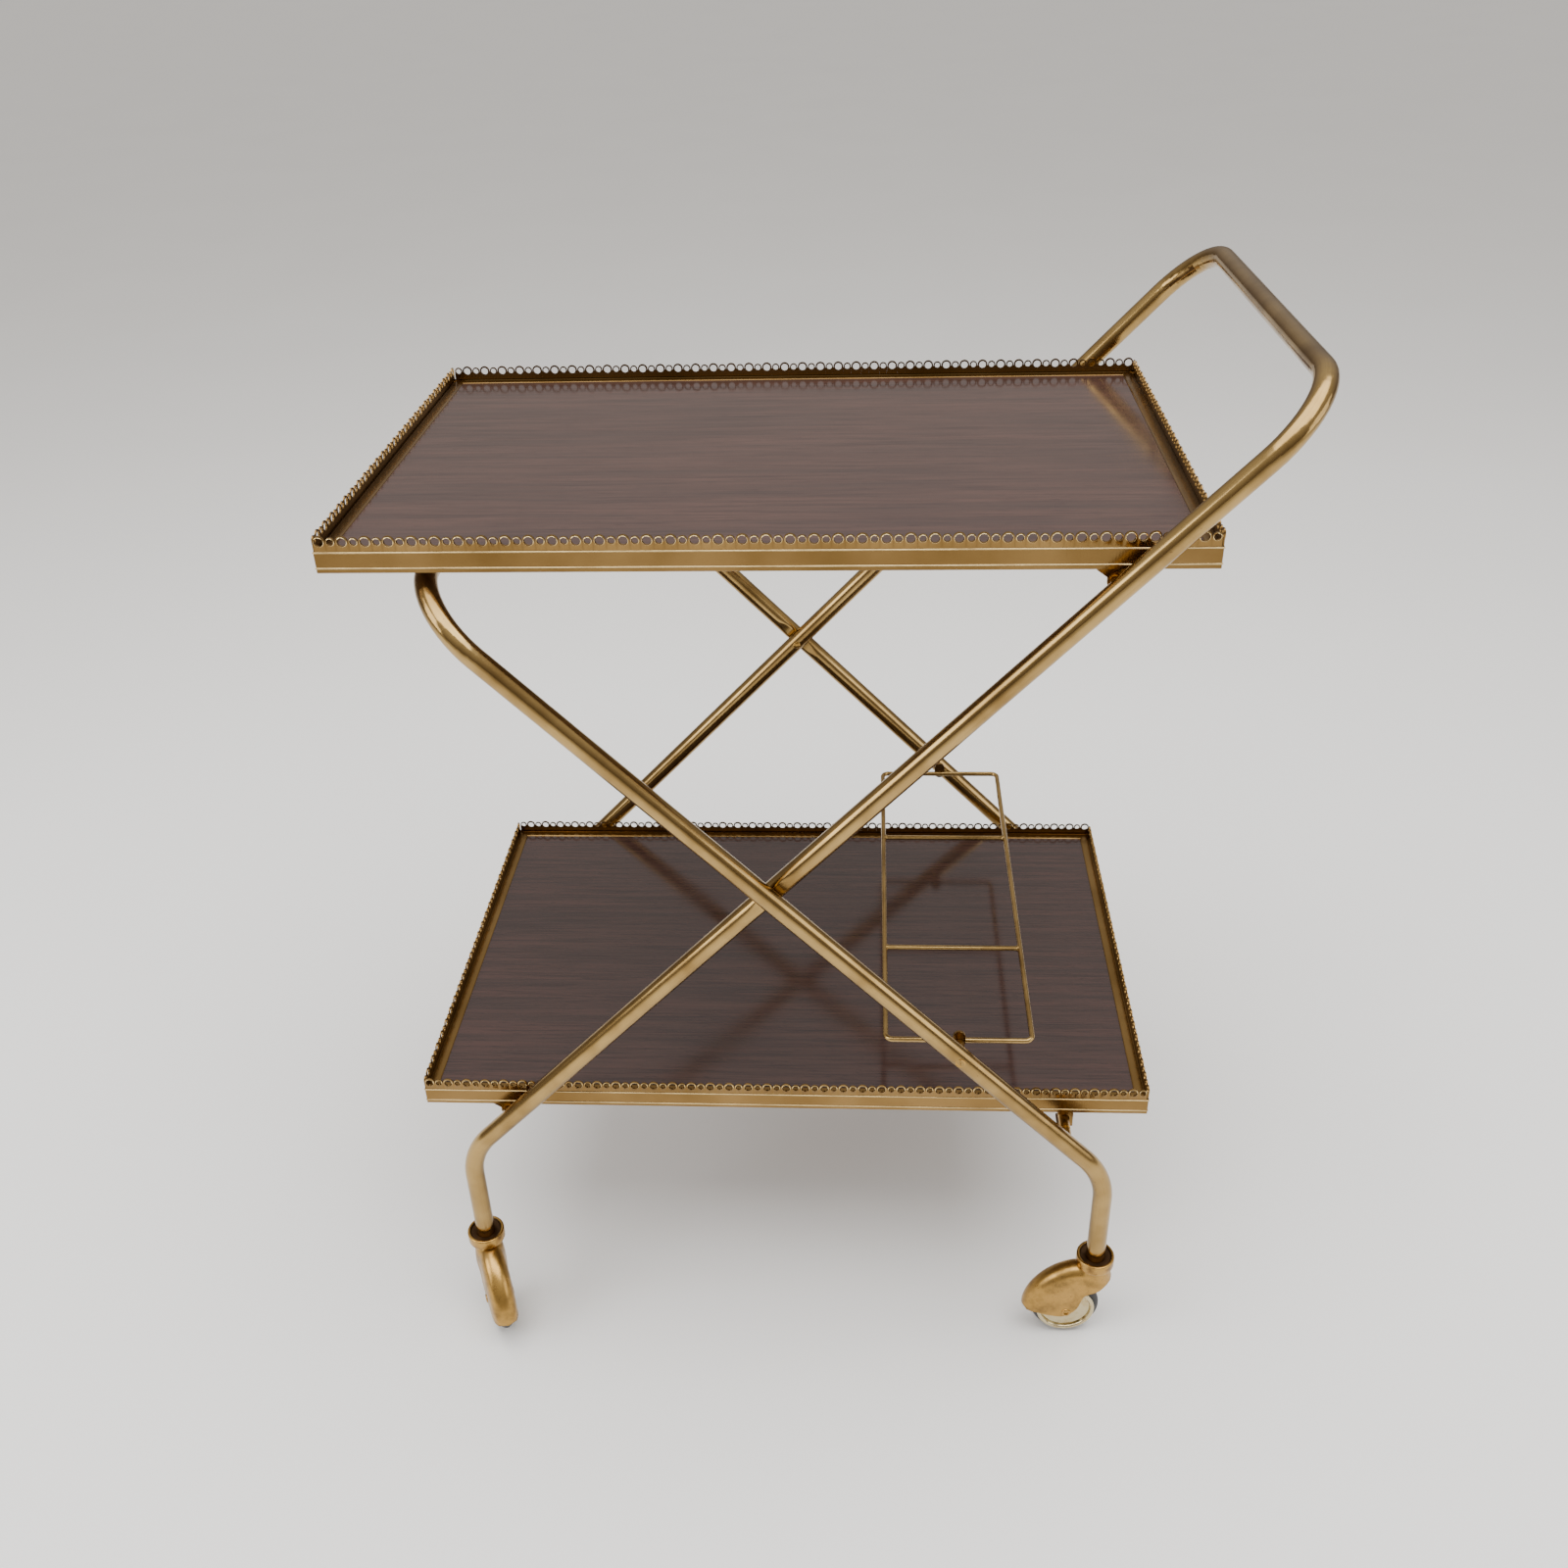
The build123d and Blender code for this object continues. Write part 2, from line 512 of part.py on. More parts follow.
def wheel():
    """Tyre and brass disc about Y, in the castor's frame."""
    turn = Pos(TRAIL, 0, WHEEL_R) * Rot(90, 0, 0)
    core_r = WHEEL_R - TYRE_DEPTH
    tyre = Cylinder(WHEEL_R, TYRE_WIDTH)
    tyre = fillet(tyre.edges(), TYRE_ROUND) - Cylinder(core_r, TYRE_WIDTH)
    disc = Cylinder(core_r, TYRE_WIDTH) + Cylinder(HUB_D / 2, HUB_WIDTH)
    for side in (-1, 1):
        middle = side * (TYRE_WIDTH + DISC_FLANGE) / 2
        disc += Pos(0, 0, middle) * Cylinder(DISC_D / 2, DISC_FLANGE)
        roll = Pos(0, 0, side * (TYRE_WIDTH / 2 + DISC_FLANGE)) * Torus(DISC_D / 2 - RIM_R, RIM_R)
        disc += roll - Cylinder(WHEEL_D, TYRE_WIDTH)
    disc -= Cylinder(AXLE_D / 2 + RUNNING_FIT, 2 * HUB_WIDTH)
    return turn * tyre, turn * disc


def castor_hood():
    """A one-piece hood: closed neck, thin cheeks and crown over the wheel, open below."""
    hood = hood_mass(0)
    hollow = hood_mass(HOOD_WALL) & Pos(0, 0, (HOOD_TOP - HOOD_NECK) / 2) * Box(
        4 * HOOD_LENGTH, 2 * CUP_D, HOOD_TOP - HOOD_NECK)
    well_width = HOOD_WIDTH - 2 * HOOD_WALL
    well = Pos(TRAIL, 0, WHEEL_R) * Rot(90, 0, 0) * Cylinder(WHEEL_R + WHEEL_GAP, well_width)
    axle_hole = pin_y(TRAIL, WHEEL_R, -HOOD_WIDTH, HOOD_WIDTH, AXLE_D / 2 + SEAT_FIT)
    stem_hole = Pos(0, 0, HOOD_TOP - HOOD_NECK / 2) * Cylinder(STEM_D / 2 + SEAT_FIT, HOOD_NECK)
    return hood - hollow - well - axle_hole - stem_hole


def axle_rivet():
    half = HOOD_WIDTH / 2
    axle = pin_y(TRAIL, WHEEL_R, -half, half, AXLE_D / 2)
    for side in (-1, 1):
        low = min(side * half, side * (half + AXLE_HEAD))
        head = pin_y(TRAIL, WHEEL_R, low, low + AXLE_HEAD, AXLE_HEAD_D / 2)
        axle += fillet(head.edges().group_by(Axis.Y)[-1 if side > 0 else 0],
                       AXLE_HEAD * HEAD_ROUND)
    return axle


def cup_ring():
    """A turned cup round the tube's end, dished on top, with a floor under the tube."""
    middle = (CUP_TOP + CUP_BOTTOM) / 2
    cup = Pos(0, 0, middle) * Cylinder(CUP_D / 2, CUP_HEIGHT)
    cup = fillet(cup.edges().group_by(Axis.Z)[0], CUP_EDGE)
    cup = fillet(cup.edges().group_by(Axis.Z)[-1], CUP_ROUND)
    dish = loft([Pos(0, 0, CUP_TOP - CUP_DISH) * Circle(TUBE_R + DISH_GAP),
                 Pos(0, 0, CUP_TOP) * Circle(CUP_D / 2 - CUP_RIM)])
    room = Pos(0, 0, (CUP_TOP + TUBE_END) / 2) * Cylinder(TUBE_R + SEAT_FIT, CUP_TOP - TUBE_END)
    hole = Pos(0, 0, CUP_BOTTOM) * Cylinder(STEM_D / 2 + RUNNING_FIT, CUP_HEIGHT)
    return cup - dish - room - hole


def stem():
    low = HOOD_TOP - HOOD_NECK
    pin = Pos(0, 0, low + (STEM_LENGTH + HOOD_NECK) / 2) * Cylinder(
        STEM_D / 2, STEM_LENGTH + HOOD_NECK)
    return chamfer(pin.edges().group_by(Axis.Z)[-1], STEM_CHAMFER)


def socket_plug():
    plug = Pos(0, 0, TUBE_END + PLUG_LENGTH / 2) * Cylinder(BORE_R - SEAT_FIT, PLUG_LENGTH)
    room = STEM_LENGTH + PLUG_TOP_GAP
    return plug - Pos(0, 0, HOOD_TOP + room / 2) * Cylinder(STEM_D / 2 + RUNNING_FIT, room)


def castors():
    """Four castors; each node's name starts with the corner it stands at."""
    tyre, disc = wheel()
    turning = {
        "castor_hood": castor_hood(), "axle_rivet": axle_rivet(), "castor_stem": stem(),
        "tyre": tyre, "wheel_disc": disc, "cup_ring": cup_ring(), "socket_plug": socket_plug(),
    }
    left = (PIVOT_X - FOOT_X, HANDLE_HALF, LEFT_TRAIL_ANGLE)
    right = (PIVOT_X + FOOT_X, SUPPORT_HALF, RIGHT_TRAIL_ANGLE)
    made = {}
    for end, (x, half, angle) in {"left": left, "right": right}.items():
        for row, y, turn in (("front", -half, angle), ("rear", half, -angle)):
            for piece, shape in turning.items():
                made[f"{row}_{end}_{piece}"] = Pos(x, y, 0) * Rot(0, 0, turn) * shape
    return made


# ---- the whole trolley ---------------------------------------------------------------------
def trolley():
    nodes = {
        "handle_tube": handle_tube(),
        "support_tube": support_tube(),
        "scissor_rivets": scissor_rivets(),
        "tray_studs": tray_studs(),
    }
    nodes.update(tray("upper", UPPER_TRAY_Z, 1))
    nodes.update(tray("lower", LOWER_TRAY_Z, -1))
    nodes.update(rack())
    nodes.update(castors())
    return nodes


def main():
    os.makedirs("parts", exist_ok=True)
    for name, shape in trolley().items():
        pieces = shape if isinstance(shape, list) else shape.solids()
        solids = [solid for piece in pieces for solid in piece.solids()]
        whole = solids[0] if len(solids) == 1 else Compound(children=solids)
        export_step(whole, f"parts/{name}.step")
        print(name, len(solids), round(whole.volume))


if __name__ == "__main__":
    main()
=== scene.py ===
"""Folding brass serving trolley: its surfaces, finishes and stage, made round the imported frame."""
import json
import math

import bmesh
import bpy
import numpy as np
from bpy.props import FloatProperty, FloatVectorProperty, PointerProperty, StringProperty
from mathutils import Euler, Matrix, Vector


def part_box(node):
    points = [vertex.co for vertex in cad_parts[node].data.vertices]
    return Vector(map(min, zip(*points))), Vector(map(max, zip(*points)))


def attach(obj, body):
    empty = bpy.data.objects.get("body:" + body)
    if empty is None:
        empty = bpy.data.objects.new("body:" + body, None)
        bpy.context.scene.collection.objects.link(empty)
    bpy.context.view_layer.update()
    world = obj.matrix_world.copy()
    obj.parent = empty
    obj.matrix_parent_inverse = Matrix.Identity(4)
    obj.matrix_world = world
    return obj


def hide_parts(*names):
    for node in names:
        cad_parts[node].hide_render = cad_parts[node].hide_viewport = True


bl_info = {
    "name": "Serving Trolley",
    "version": (1, 0, 0),
    "blender": (4, 5, 0),
    "location": "3D View > Sidebar > Trolley",
    "description": "Makes the surfaces, finishes and stage of a folding brass serving trolley",
    "category": "Add Mesh",
}

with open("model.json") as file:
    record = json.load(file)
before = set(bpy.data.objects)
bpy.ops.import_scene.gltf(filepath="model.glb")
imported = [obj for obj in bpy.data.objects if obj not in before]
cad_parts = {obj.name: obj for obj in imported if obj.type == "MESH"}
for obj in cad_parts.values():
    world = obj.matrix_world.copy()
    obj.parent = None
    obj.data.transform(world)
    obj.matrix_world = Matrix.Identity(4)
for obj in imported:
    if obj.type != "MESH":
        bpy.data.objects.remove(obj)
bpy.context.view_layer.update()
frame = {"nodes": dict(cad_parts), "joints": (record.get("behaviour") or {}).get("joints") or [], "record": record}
JOINTS = {joint["name"]: joint for joint in frame["joints"]}
MOUNTS = {mount["name"]: mount for mount in frame["record"]["mounts"]}
CORNERS = ("front_left", "front_right", "rear_left", "rear_right")
TRAYS = ("upper", "lower")
RAILS = ("rail_front", "rail_back", "rail_left", "rail_right")
MM = 0.001
# each rail's outer face: axis, which corner of its box, and the side that it looks to
OUTER = {"rail_front": (1, 0, -1), "rail_back": (1, 1, 1), "rail_left": (0, 0, -1),
         "rail_right": (0, 1, 1)}
MERGE = 1e-6                # points nearer than this are one point
ARC_POINTS = 15             # in each bend of a tube or wire

# soft lights: place, turn in degrees, size and power in watts
LIGHTS = {"overhead": ((0.2, -0.4, 2.6), (0, 0, 0), (3.2, 2.4), 105),
          "window": ((-2.6, -1.2, 1.7), (65, 0, -62), (1.6, 1.8), 40),
          "side": ((2.7, -0.6, 1.1), (80, 0, 78), (1.8, 1.2), 16)}
FLOOR_REACH = 20.0

# tubes
TUBE_STEP = 3.5 * MM
TUBE_SIDES = 48
CUP_FLOOR = 1.0 * MM        # a tube's end above the underside of its cup ring
DENT_RISE = 0.1227          # slope of the cone that eases a dent off
DENT_REACH = 30 * MM

# rails
RAIL_STEPS = 61
GROOVE_DEPTH = 0.85 * MM
LIP_THICK = 1.0 * MM
CELL_GAP = 0.01 * MM        # between one hole's cell and the next
RING_ROOT = 0.9 * MM        # a ring meets the strip this far below its hole's middle
RING_RAISE = 0.42 * MM
RIM_CREST = 0.25 * MM       # beyond the hole's edge
RIM_SHOULDER = 0.65 * MM
HIGHLIGHT_DEPTH = 0.42 * MM    # how far down from the crests the pale painted highlight reaches, where the lacquer is also worn thin
WAVE_UNIT = 20              # a Wave texture makes 20 radians of bands in one unit
RIB_SPACING_MM = 2.0

# rivets and studs
EAR_THICK = 2.0 * MM
PIN_R = 2.5 * MM
HEAD_GAP = 0.3 * MM         # between a rivet's head and what it holds
STUD_R = 4.5 * MM
STUD_END = 177.85 * MM      # a stud's inner end, from the trolley's middle

# castors: t is the trail from the swivel, z the height above the floor
HOOD_RAYS = 120
HOOD_RINGS = 25
HALVINGS = 32               # a ray's end is found to within FARTHEST / 2 ** HALVINGS
FARTHEST = 80 * MM
HOOD = {"neck": 12 * MM, "tail": 60 * MM, "tail_z": 29 * MM, "top": 79.5 * MM, "half": 11.5 * MM,
        "skirt": 17 * MM, "flare": 0.25, "heart": (14 * MM, 58 * MM), "wall": 1.5 * MM,
        "edge": [(61 * MM, 30 * MM), (48 * MM, 29 * MM), (38 * MM, 26 * MM), (24 * MM, 24.5 * MM),
                 (14 * MM, 34 * MM), (8 * MM, 51 * MM), (-4 * MM, 58 * MM), (-18 * MM, 67 * MM)]}
WHEEL = {"shy": 1.0 * MM, "tyre_width": 11 * MM, "crown": 5.2 * MM, "flange": 2 * MM,
         "roll": 1.9 * MM, "hub": 18 * MM}
TAU = 2 * math.pi
UP = np.array([0.0, 0.0, 1.0])
ACROSS = np.array([0.0, 1.0, 0.0])


def length(value, name, about):
    """A size in metres that a user may change."""
    return FloatProperty(name=name, description=about, default=value, unit="LENGTH", min=0.0)


def hexcode(value, name, about):
    """A colour as an sRGB hex code that a user may change."""
    return StringProperty(name=name, description=about, default=value)


class TrolleySizes(bpy.types.PropertyGroup):
    """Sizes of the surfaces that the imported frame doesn't give by itself."""
    tube_r: length(MOUNTS["handle_grip"]["dims"]["r_mm"] * MM, "Tube radius", "Outside of both tubes")
    end_bend: length(0.057, "End bend", "Bend radius at the handle and the support crossbar")
    foot_bend: length(0.065, "Foot bend", "Bend radius above the feet")
    dent_flat: length(0.0145, "Dent flat", "Radius of the flat where the tubes cross")
    cross_gap: length(0.0003, "Crossing gap", "Air between the two dented tubes")
    hole_pitch: length(0.00785, "Hole pitch", "Middle to middle of the gallery's holes")
    large_ring: length(0.0043, "Large ring", "Radius of the raised ring round a large hole")
    large_hole: length(0.00295, "Large hole", "Radius of a large hole")
    small_ring: length(0.00325, "Small ring", "Radius of the raised ring round a small hole")
    small_hole: length(0.0022, "Small hole", "Radius of a small hole")
    corner_margin: length(0.005, "Corner margin", "Least distance from a corner to a hole's middle")
    wall: length(0.001, "Rail wall", "Thickness of the rail's sheet")
    ridge: length(0.0006, "Ridge", "Radius of the half-round ridges along a rail")
    lower_ridge: length(0.0036, "Lower ridge", "Lower ridge above the rail's lower edge")
    upper_ridge: length(0.0148, "Upper ridge", "Upper ridge above the rail's lower edge")
    lip: length(0.0092, "Lip", "Width of the lip that covers the laminate's edge")
    wire_r: length(0.0022, "Wire radius", "Wire of the bottle rack")
    wire_bend: length(0.006, "Wire bend", "Corner radius of the rack's frame")


class TrolleyColours(bpy.types.PropertyGroup):
    """sRGB hex codes of the finishes."""
    brass: hexcode("#A98C58", "Brass", "Clear-lacquered brass plate on the tubes")
    brass_deep: hexcode("#80653A", "Deep brass", "Where the lacquer has yellowed")
    brass_brown: hexcode("#5A4028", "Tarnish", "Brown tarnish in corners and seams")
    sheet: hexcode("#8B6E42", "Rail brass", "Aged lacquer over the rails' pressed sheet")
    sheet_deep: hexcode("#745930", "Deep rail brass", "Where the rails' lacquer is thicker")
    castor: hexcode("#B08A4A", "Castor brass", "Handled, unlacquered brass of the castors")
    # Pale colour painted on ridge crests and hole rims as their highlight lines, partly lacquer worn thin there
    ridge_highlight: hexcode("#DCC28C", "Rubbed brass", "Ridges and rims where the lacquer has rubbed thin")
    disc: hexcode("#C4B792", "Wheel disc", "Pale brass of the wheels' spun discs, nearly silvery")
    laminate: hexcode("#352623", "Laminate", "Printed wood grain between its streaks")
    laminate_dark: hexcode("#251817", "Laminate streaks", "Dark streaks and pores of the grain")
    laminate_red: hexcode("#432E29", "Laminate light", "Lighter, redder bands of the grain")
    tyre: hexcode("#17161A", "Tyre", "Black rubber")
    floor: hexcode("#F3F2F0", "Floor", "Plain pale floor")


class TrolleyStage(bpy.types.PropertyGroup):
    """Camera, as a tripod and a lens."""
    place: FloatVectorProperty(
        name="Camera place", description="Where the lens is", subtype="XYZ", unit="LENGTH",
        default=(0.0401, -1.1012, 1.1052))
    pan: FloatProperty(name="Pan", description="Turn from straight ahead along +Y, to the left",
                       subtype="ANGLE", default=math.radians(3.915))
    tilt: FloatProperty(name="Tilt", description="Down from the horizon", subtype="ANGLE",
                        default=math.radians(31.665))
    roll: FloatProperty(name="Roll", description="Clockwise round the line of sight",
                        subtype="ANGLE", default=math.radians(1.880))
    lens: FloatProperty(name="Lens", description="Focal length on a 36 mm frame, in mm",
                        default=34.02)


# ---- arrays into meshes ----------------------------------------------------------------------
def unit(vectors):
    """The same directions with length one."""
    return vectors / np.linalg.norm(vectors, axis=-1, keepdims=True)


class Surface:
    """Grids of points gathered into one mesh, each with its own place in the piece's UV map."""

    def __init__(self):
        self.points, self.faces, self.uvs, self.total = [], [], [], 0

    def grid(self, points, u=None, v=None, ring=False, loop=False):
        """Adds points[i, j]; ring joins the last j to the first, loop the last i to the first.

        Each face is the square between four neighbouring points.
        """
        rows, columns = points.shape[:2]
        u = np.arange(rows + 1) * MM if u is None else np.asarray(u)
        v = np.arange(columns + 1) * MM if v is None else np.asarray(v)
        i = np.arange(rows if loop else rows - 1)[:, None]
        j = np.arange(columns if ring else columns - 1)[None, :]
        corners = []
        places = []
        for down, along in ((0, 0), (0, 1), (1, 1), (1, 0)):
            a, b = i + down, j + along
            corners.append(((a % rows) * columns + b % columns).ravel())
            a, b = np.broadcast_arrays(a, b)
            places.append(np.stack([u[a.ravel()], v[b.ravel()]], -1))
        self.faces.append(np.stack(corners, -1) + self.total)
        self.uvs.append(np.stack(places, 1))
        self.points.append(points.reshape(-1, 3))
        self.total += rows * columns
        return self

    def cells(self, points, ring_uv):
        """Adds many like grids at once: points[cell, i, j], closed both ways."""
        count, rows, columns = points.shape[:3]
        i = np.arange(rows)[:, None]
        j = np.arange(columns)[None, :]
        corners = np.stack([
            (((i + down) % rows) * columns + (j + along) % columns).ravel()
            for down, along in ((0, 0), (0, 1), (1, 1), (1, 0))], -1)
        first = (np.arange(count) * rows * columns)[:, None, None]
        faces = (corners[None] + first).reshape(-1, 4)
        flat = ring_uv.reshape(-1, 2)
        self.faces.append(faces + self.total)
        self.uvs.append(flat[faces.ravel()].reshape(-1, 4, 2))
        self.points.append(points.reshape(-1, 3))
        self.total += count * rows * columns
        return self

    def piece(self, name, finish, body, stands_for=(), crease=38.0, closed=True):
        """Makes the object: merges shared points, closes its ends and turns faces outwards."""
        mesh = bpy.data.meshes.new(name)
        faces = np.concatenate(self.faces)
        mesh.from_pydata(np.concatenate(self.points).tolist(), [], faces.tolist())
        layer = mesh.uv_layers.new(name="UVMap")
        layer.data.foreach_set("uv", np.concatenate(self.uvs).astype(np.float32).ravel())
        work = bmesh.new()
        work.from_mesh(mesh)
        bmesh.ops.remove_doubles(work, verts=work.verts, dist=MERGE)
        bmesh.ops.dissolve_degenerate(work, edges=work.edges, dist=1e-7)
        if closed:
            rims = [edge for edge in work.edges if edge.is_boundary]
            bmesh.ops.holes_fill(work, edges=rims, sides=0)
        bmesh.ops.recalc_face_normals(work, faces=work.faces)
        work.to_mesh(mesh)
        work.free()
        return dress(mesh, name, finish, body, stands_for, crease)


def dress(mesh, name, finish, body, stands_for, crease=38.0):
    """A smooth-shaded object of this mesh with its finish, riding on its body."""
    mesh.shade_smooth()
    mesh.set_sharp_from_angle(angle=math.radians(crease))
    mesh.materials.append(material(finish))
    made = bpy.data.objects.new(name, mesh)
    bpy.context.scene.collection.objects.link(made)
    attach(made, body)
    if stands_for:
        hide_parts(*stands_for)
    return made


def travel(line):
    """Distance along a line of points, from its start to each of them."""
    return np.append(0, np.cumsum(np.linalg.norm(np.diff(line, axis=0), axis=1)))


def frame_on(axis):
    """Two directions square to an axis and to each other, right-handed with it."""
    axis = unit(np.asarray(axis, float))
    helper = UP if abs(axis[2]) < 0.9 else ACROSS
    first = unit(np.cross(helper, axis))
    return first, np.cross(axis, first), axis


def turned(surface, origin, axis, outline, steps=40):
    """Turning: outline[k] = (radius, height) carried round the axis.

    A point is origin + radius (cos a first + sin a second) + height axis.
    """
    first, second, axis = frame_on(axis)
    outline = np.asarray(outline, float)
    angle = np.arange(steps) * TAU / steps
    round_it = np.cos(angle)[:, None] * first + np.sin(angle)[:, None] * second
    points = (np.asarray(origin, float) + outline[:, :1, None] * round_it[None]
              + outline[:, 1:, None] * axis)
    run = travel(outline)
    around = np.arange(steps + 1) * TAU / steps * max(outline[:, 0].max(), MM)
    return surface.grid(points, u=np.append(run, run[-1]), v=around, ring=True)


def arc(centre, radius, start, end, steps=6):
    """Points (x, y) on a circle between two angles in degrees."""
    angle = np.radians(np.linspace(start, end, steps + 1))
    return [(centre[0] + radius * math.cos(a), centre[1] + radius * math.sin(a)) for a in angle]


def dome(radius, height, base=0.0, steps=7):
    """Outline of a rounded rivet head standing on base: a quarter of an ellipse."""
    angle = np.linspace(0, math.pi / 2, steps + 1)
    return [(radius * math.cos(a), base + height * math.sin(a)) for a in angle]


def circle(radius, steps=40):
    """Points (x, y) round a circle."""
    angle = np.arange(steps) * TAU / steps
    return np.stack([radius * np.cos(angle), radius * np.sin(angle)], -1)


# ---- finishes --------------------------------------------------------------------------------
def linear(code):
    """An sRGB hex code as linear red, green, blue and alpha."""
    parts = [int(code[k:k + 2], 16) / 255 for k in (1, 3, 5)]
    return tuple(p / 12.92 if p <= 0.04045 else ((p + 0.055) / 1.055) ** 2.4 for p in parts) + (1.0,)


def add(tree, kind, inputs=(), **settings):
    """Adds a node, sets its attributes, and fills or links each of its inputs."""
    made = tree.nodes.new(kind)
    for key, value in settings.items():
        setattr(made, key, value)
    for key, value in dict(inputs).items():
        if isinstance(value, bpy.types.NodeSocket):
            tree.links.new(value, made.inputs[key])
        else:
            made.inputs[key].default_value = value
    return made


def noise(tree, where, size_mm, stretch=(1, 1, 1), detail=3.0, rough=0.5):
    """A cloudy pattern whose blotches are size_mm across, stretched along the axes given."""
    scale = [1 / (size_mm * MM * s) for s in stretch]
    moved = add(tree, "ShaderNodeMapping", {"Vector": where, "Scale": scale})
    return add(tree, "ShaderNodeTexNoise", {
        "Vector": moved.outputs[0], "Scale": 1.0, "Detail": detail, "Roughness": rough}).outputs[0]


def between(tree, value, low, high, to_low=0.0, to_high=1.0):
    """A value spread from one range to another, held at its ends."""
    return add(tree, "ShaderNodeMapRange", {
        "Value": value, "From Min": low, "From Max": high, "To Min": to_low, "To Max": to_high,
    }).outputs[0]


def blend(tree, amount, first, second):
    """One colour over another; a colour is a socket or an sRGB hex code."""
    made = add(tree, "ShaderNodeMix", data_type="RGBA", blend_type="MIX")
    for socket, value in ((0, amount), (6, first), (7, second)):
        value = linear(value) if isinstance(value, str) else value
        if isinstance(value, bpy.types.NodeSocket):
            tree.links.new(value, made.inputs[socket])
        else:
            made.inputs[socket].default_value = value
    return made.outputs[2]


def mottled(tree, pattern, low, high, first, second, most=1.0):
    """The second colour over the first where a pattern rises from low to high."""
    return blend(tree, between(tree, pattern, low, high, 0.0, most), first, second)


def bump(tree, height, depth_mm, over=None):
    """Height from 0 to 1 made into a relief this deep."""
    inputs = {"Height": height, "Distance": depth_mm * MM, "Strength": 1.0}
    if over is not None:
        inputs["Normal"] = over
    return add(tree, "ShaderNodeBump", inputs).outputs[0]


def shader(name):
    """An empty material: its node tree and its one shader."""
    made = bpy.data.materials.new(name)
    made.use_nodes = True
    tree = made.node_tree
    tree.nodes.clear()
    surface = add(tree, "ShaderNodeBsdfPrincipled")
    add(tree, "ShaderNodeOutputMaterial", {"Surface": surface.outputs[0]})
    return made, tree, surface


def join(tree, surface, **sockets):
    """Links or sets the shader's inputs, named with underscores for spaces."""
    for key, value in sockets.items():
        socket = surface.inputs[key.replace("_", " ")]
        if isinstance(value, bpy.types.NodeSocket):
            tree.links.new(value, socket)
        else:
            socket.default_value = value


def in_space(tree):
    """Places in the trolley's own frame."""
    return add(tree, "ShaderNodeTexCoord").outputs["Object"]


def on_surface(tree):
    """Places on the piece's own UV map, along and across it in metres."""
    return add(tree, "ShaderNodeUVMap", uv_map="UVMap").outputs[0]


# Each finish fills its node tree and its shader from the colours and places in the trolley's frame.
def lacquered_brass_tube(tree, surface, colours, space):
    """Brass-plated, polished and clear-lacquered tube.

    Polishing along the tube leaves long faint streaks, and old lacquer yellows in patches.
    """
    along = on_surface(tree)
    streaks = noise(tree, along, 1.2, (90, 1, 1), 4.0)
    patches = noise(tree, space, 55, detail=3.0, rough=0.6)
    specks = noise(tree, space, 2.2, detail=2.0)
    yellowed = mottled(tree, patches, 0.42, 0.72, colours.brass, colours.brass_deep)
    tone = mottled(tree, streaks, 0.5, 0.8, yellowed, colours.brass_deep, 0.35)
    spotted = mottled(tree, specks, 0.70, 0.80, tone, colours.brass_brown, 0.5)
    relief = bump(tree, streaks, 0.012)
    relief = bump(tree, noise(tree, space, 18, detail=1.0), 0.10, over=relief)
    join(tree, surface, Base_Color=spotted, Metallic=1.0, Normal=relief,
         Roughness=between(tree, patches, 0.3, 0.8, 0.13, 0.24))


def pressed_brass_sheet(tree, surface, colours, space):
    """Thin brass sheet, rolled and pressed into the trays' rails, under aged brown-gold lacquer.

    The rolls leave fine ribs across the strip, and the presswork leaves it softly uneven.
    """
    along = on_surface(tree)
    ribs = add(tree, "ShaderNodeTexWave", {
        "Vector": along, "Scale": TAU / WAVE_UNIT / (RIB_SPACING_MM * MM),
        "Distortion": 0.6, "Detail": 1.0,
    }, wave_type="BANDS", bands_direction="X", wave_profile="SIN").outputs[0]
    where = between(tree, noise(tree, space, 120, detail=1.0), 0.45, 0.62)
    patches = noise(tree, space, 60, detail=3.0, rough=0.5)
    specks = noise(tree, space, 1.8, detail=2.0)
    aged = mottled(tree, patches, 0.35, 0.70, colours.sheet, colours.sheet_deep)
    spotted = mottled(tree, specks, 0.70, 0.80, aged, colours.brass_brown, 0.35)
    ribbed = add(tree, "ShaderNodeMath", {0: ribs, 1: where}, operation="MULTIPLY").outputs[0]
    relief = bump(tree, ribbed, 0.012)
    relief = bump(tree, noise(tree, space, 14, detail=1.0), 0.04, over=relief)
    join(tree, surface, Base_Color=spotted, Metallic=1.0, Normal=relief,
         Roughness=between(tree, patches, 0.3, 0.8, 0.20, 0.28))


def ridge_highlight_brass(tree, surface, colours, space):
    """Brass on ridges and rims, painted pale as their highlight lines, partly lacquer worn thin by dusting cloths;
    its low roughness adds a narrow highlight.
    """
    patches = noise(tree, space, 20, detail=3.0)
    # painted highlight: the pale colour over the sheet colour stands for the bright lines that light draws along
    # the ridges and rims
    tone = mottled(tree, patches, 0.45, 0.75, colours.ridge_highlight, colours.sheet, 0.6)
    join(tree, surface, Base_Color=tone, Metallic=1.0, Roughness=0.16,
         Normal=bump(tree, noise(tree, space, 5, detail=2.0), 0.01))


def dish_shade_brass(tree, surface, colours, space):
    """Brass inside the cup rings, round the tube: painted dark brown as the shade in that recess, and dull."""
    patches = noise(tree, space, 5, detail=4.0)
    # painted shade: two dark browns stand for the shade round the tube inside the cup's dish
    tone = blend(tree, patches, "#3A2B20", "#5E4731")
    join(tree, surface, Base_Color=tone, Metallic=1.0, Roughness=0.55,
         Normal=bump(tree, noise(tree, space, 1.2, detail=3.0), 0.05))


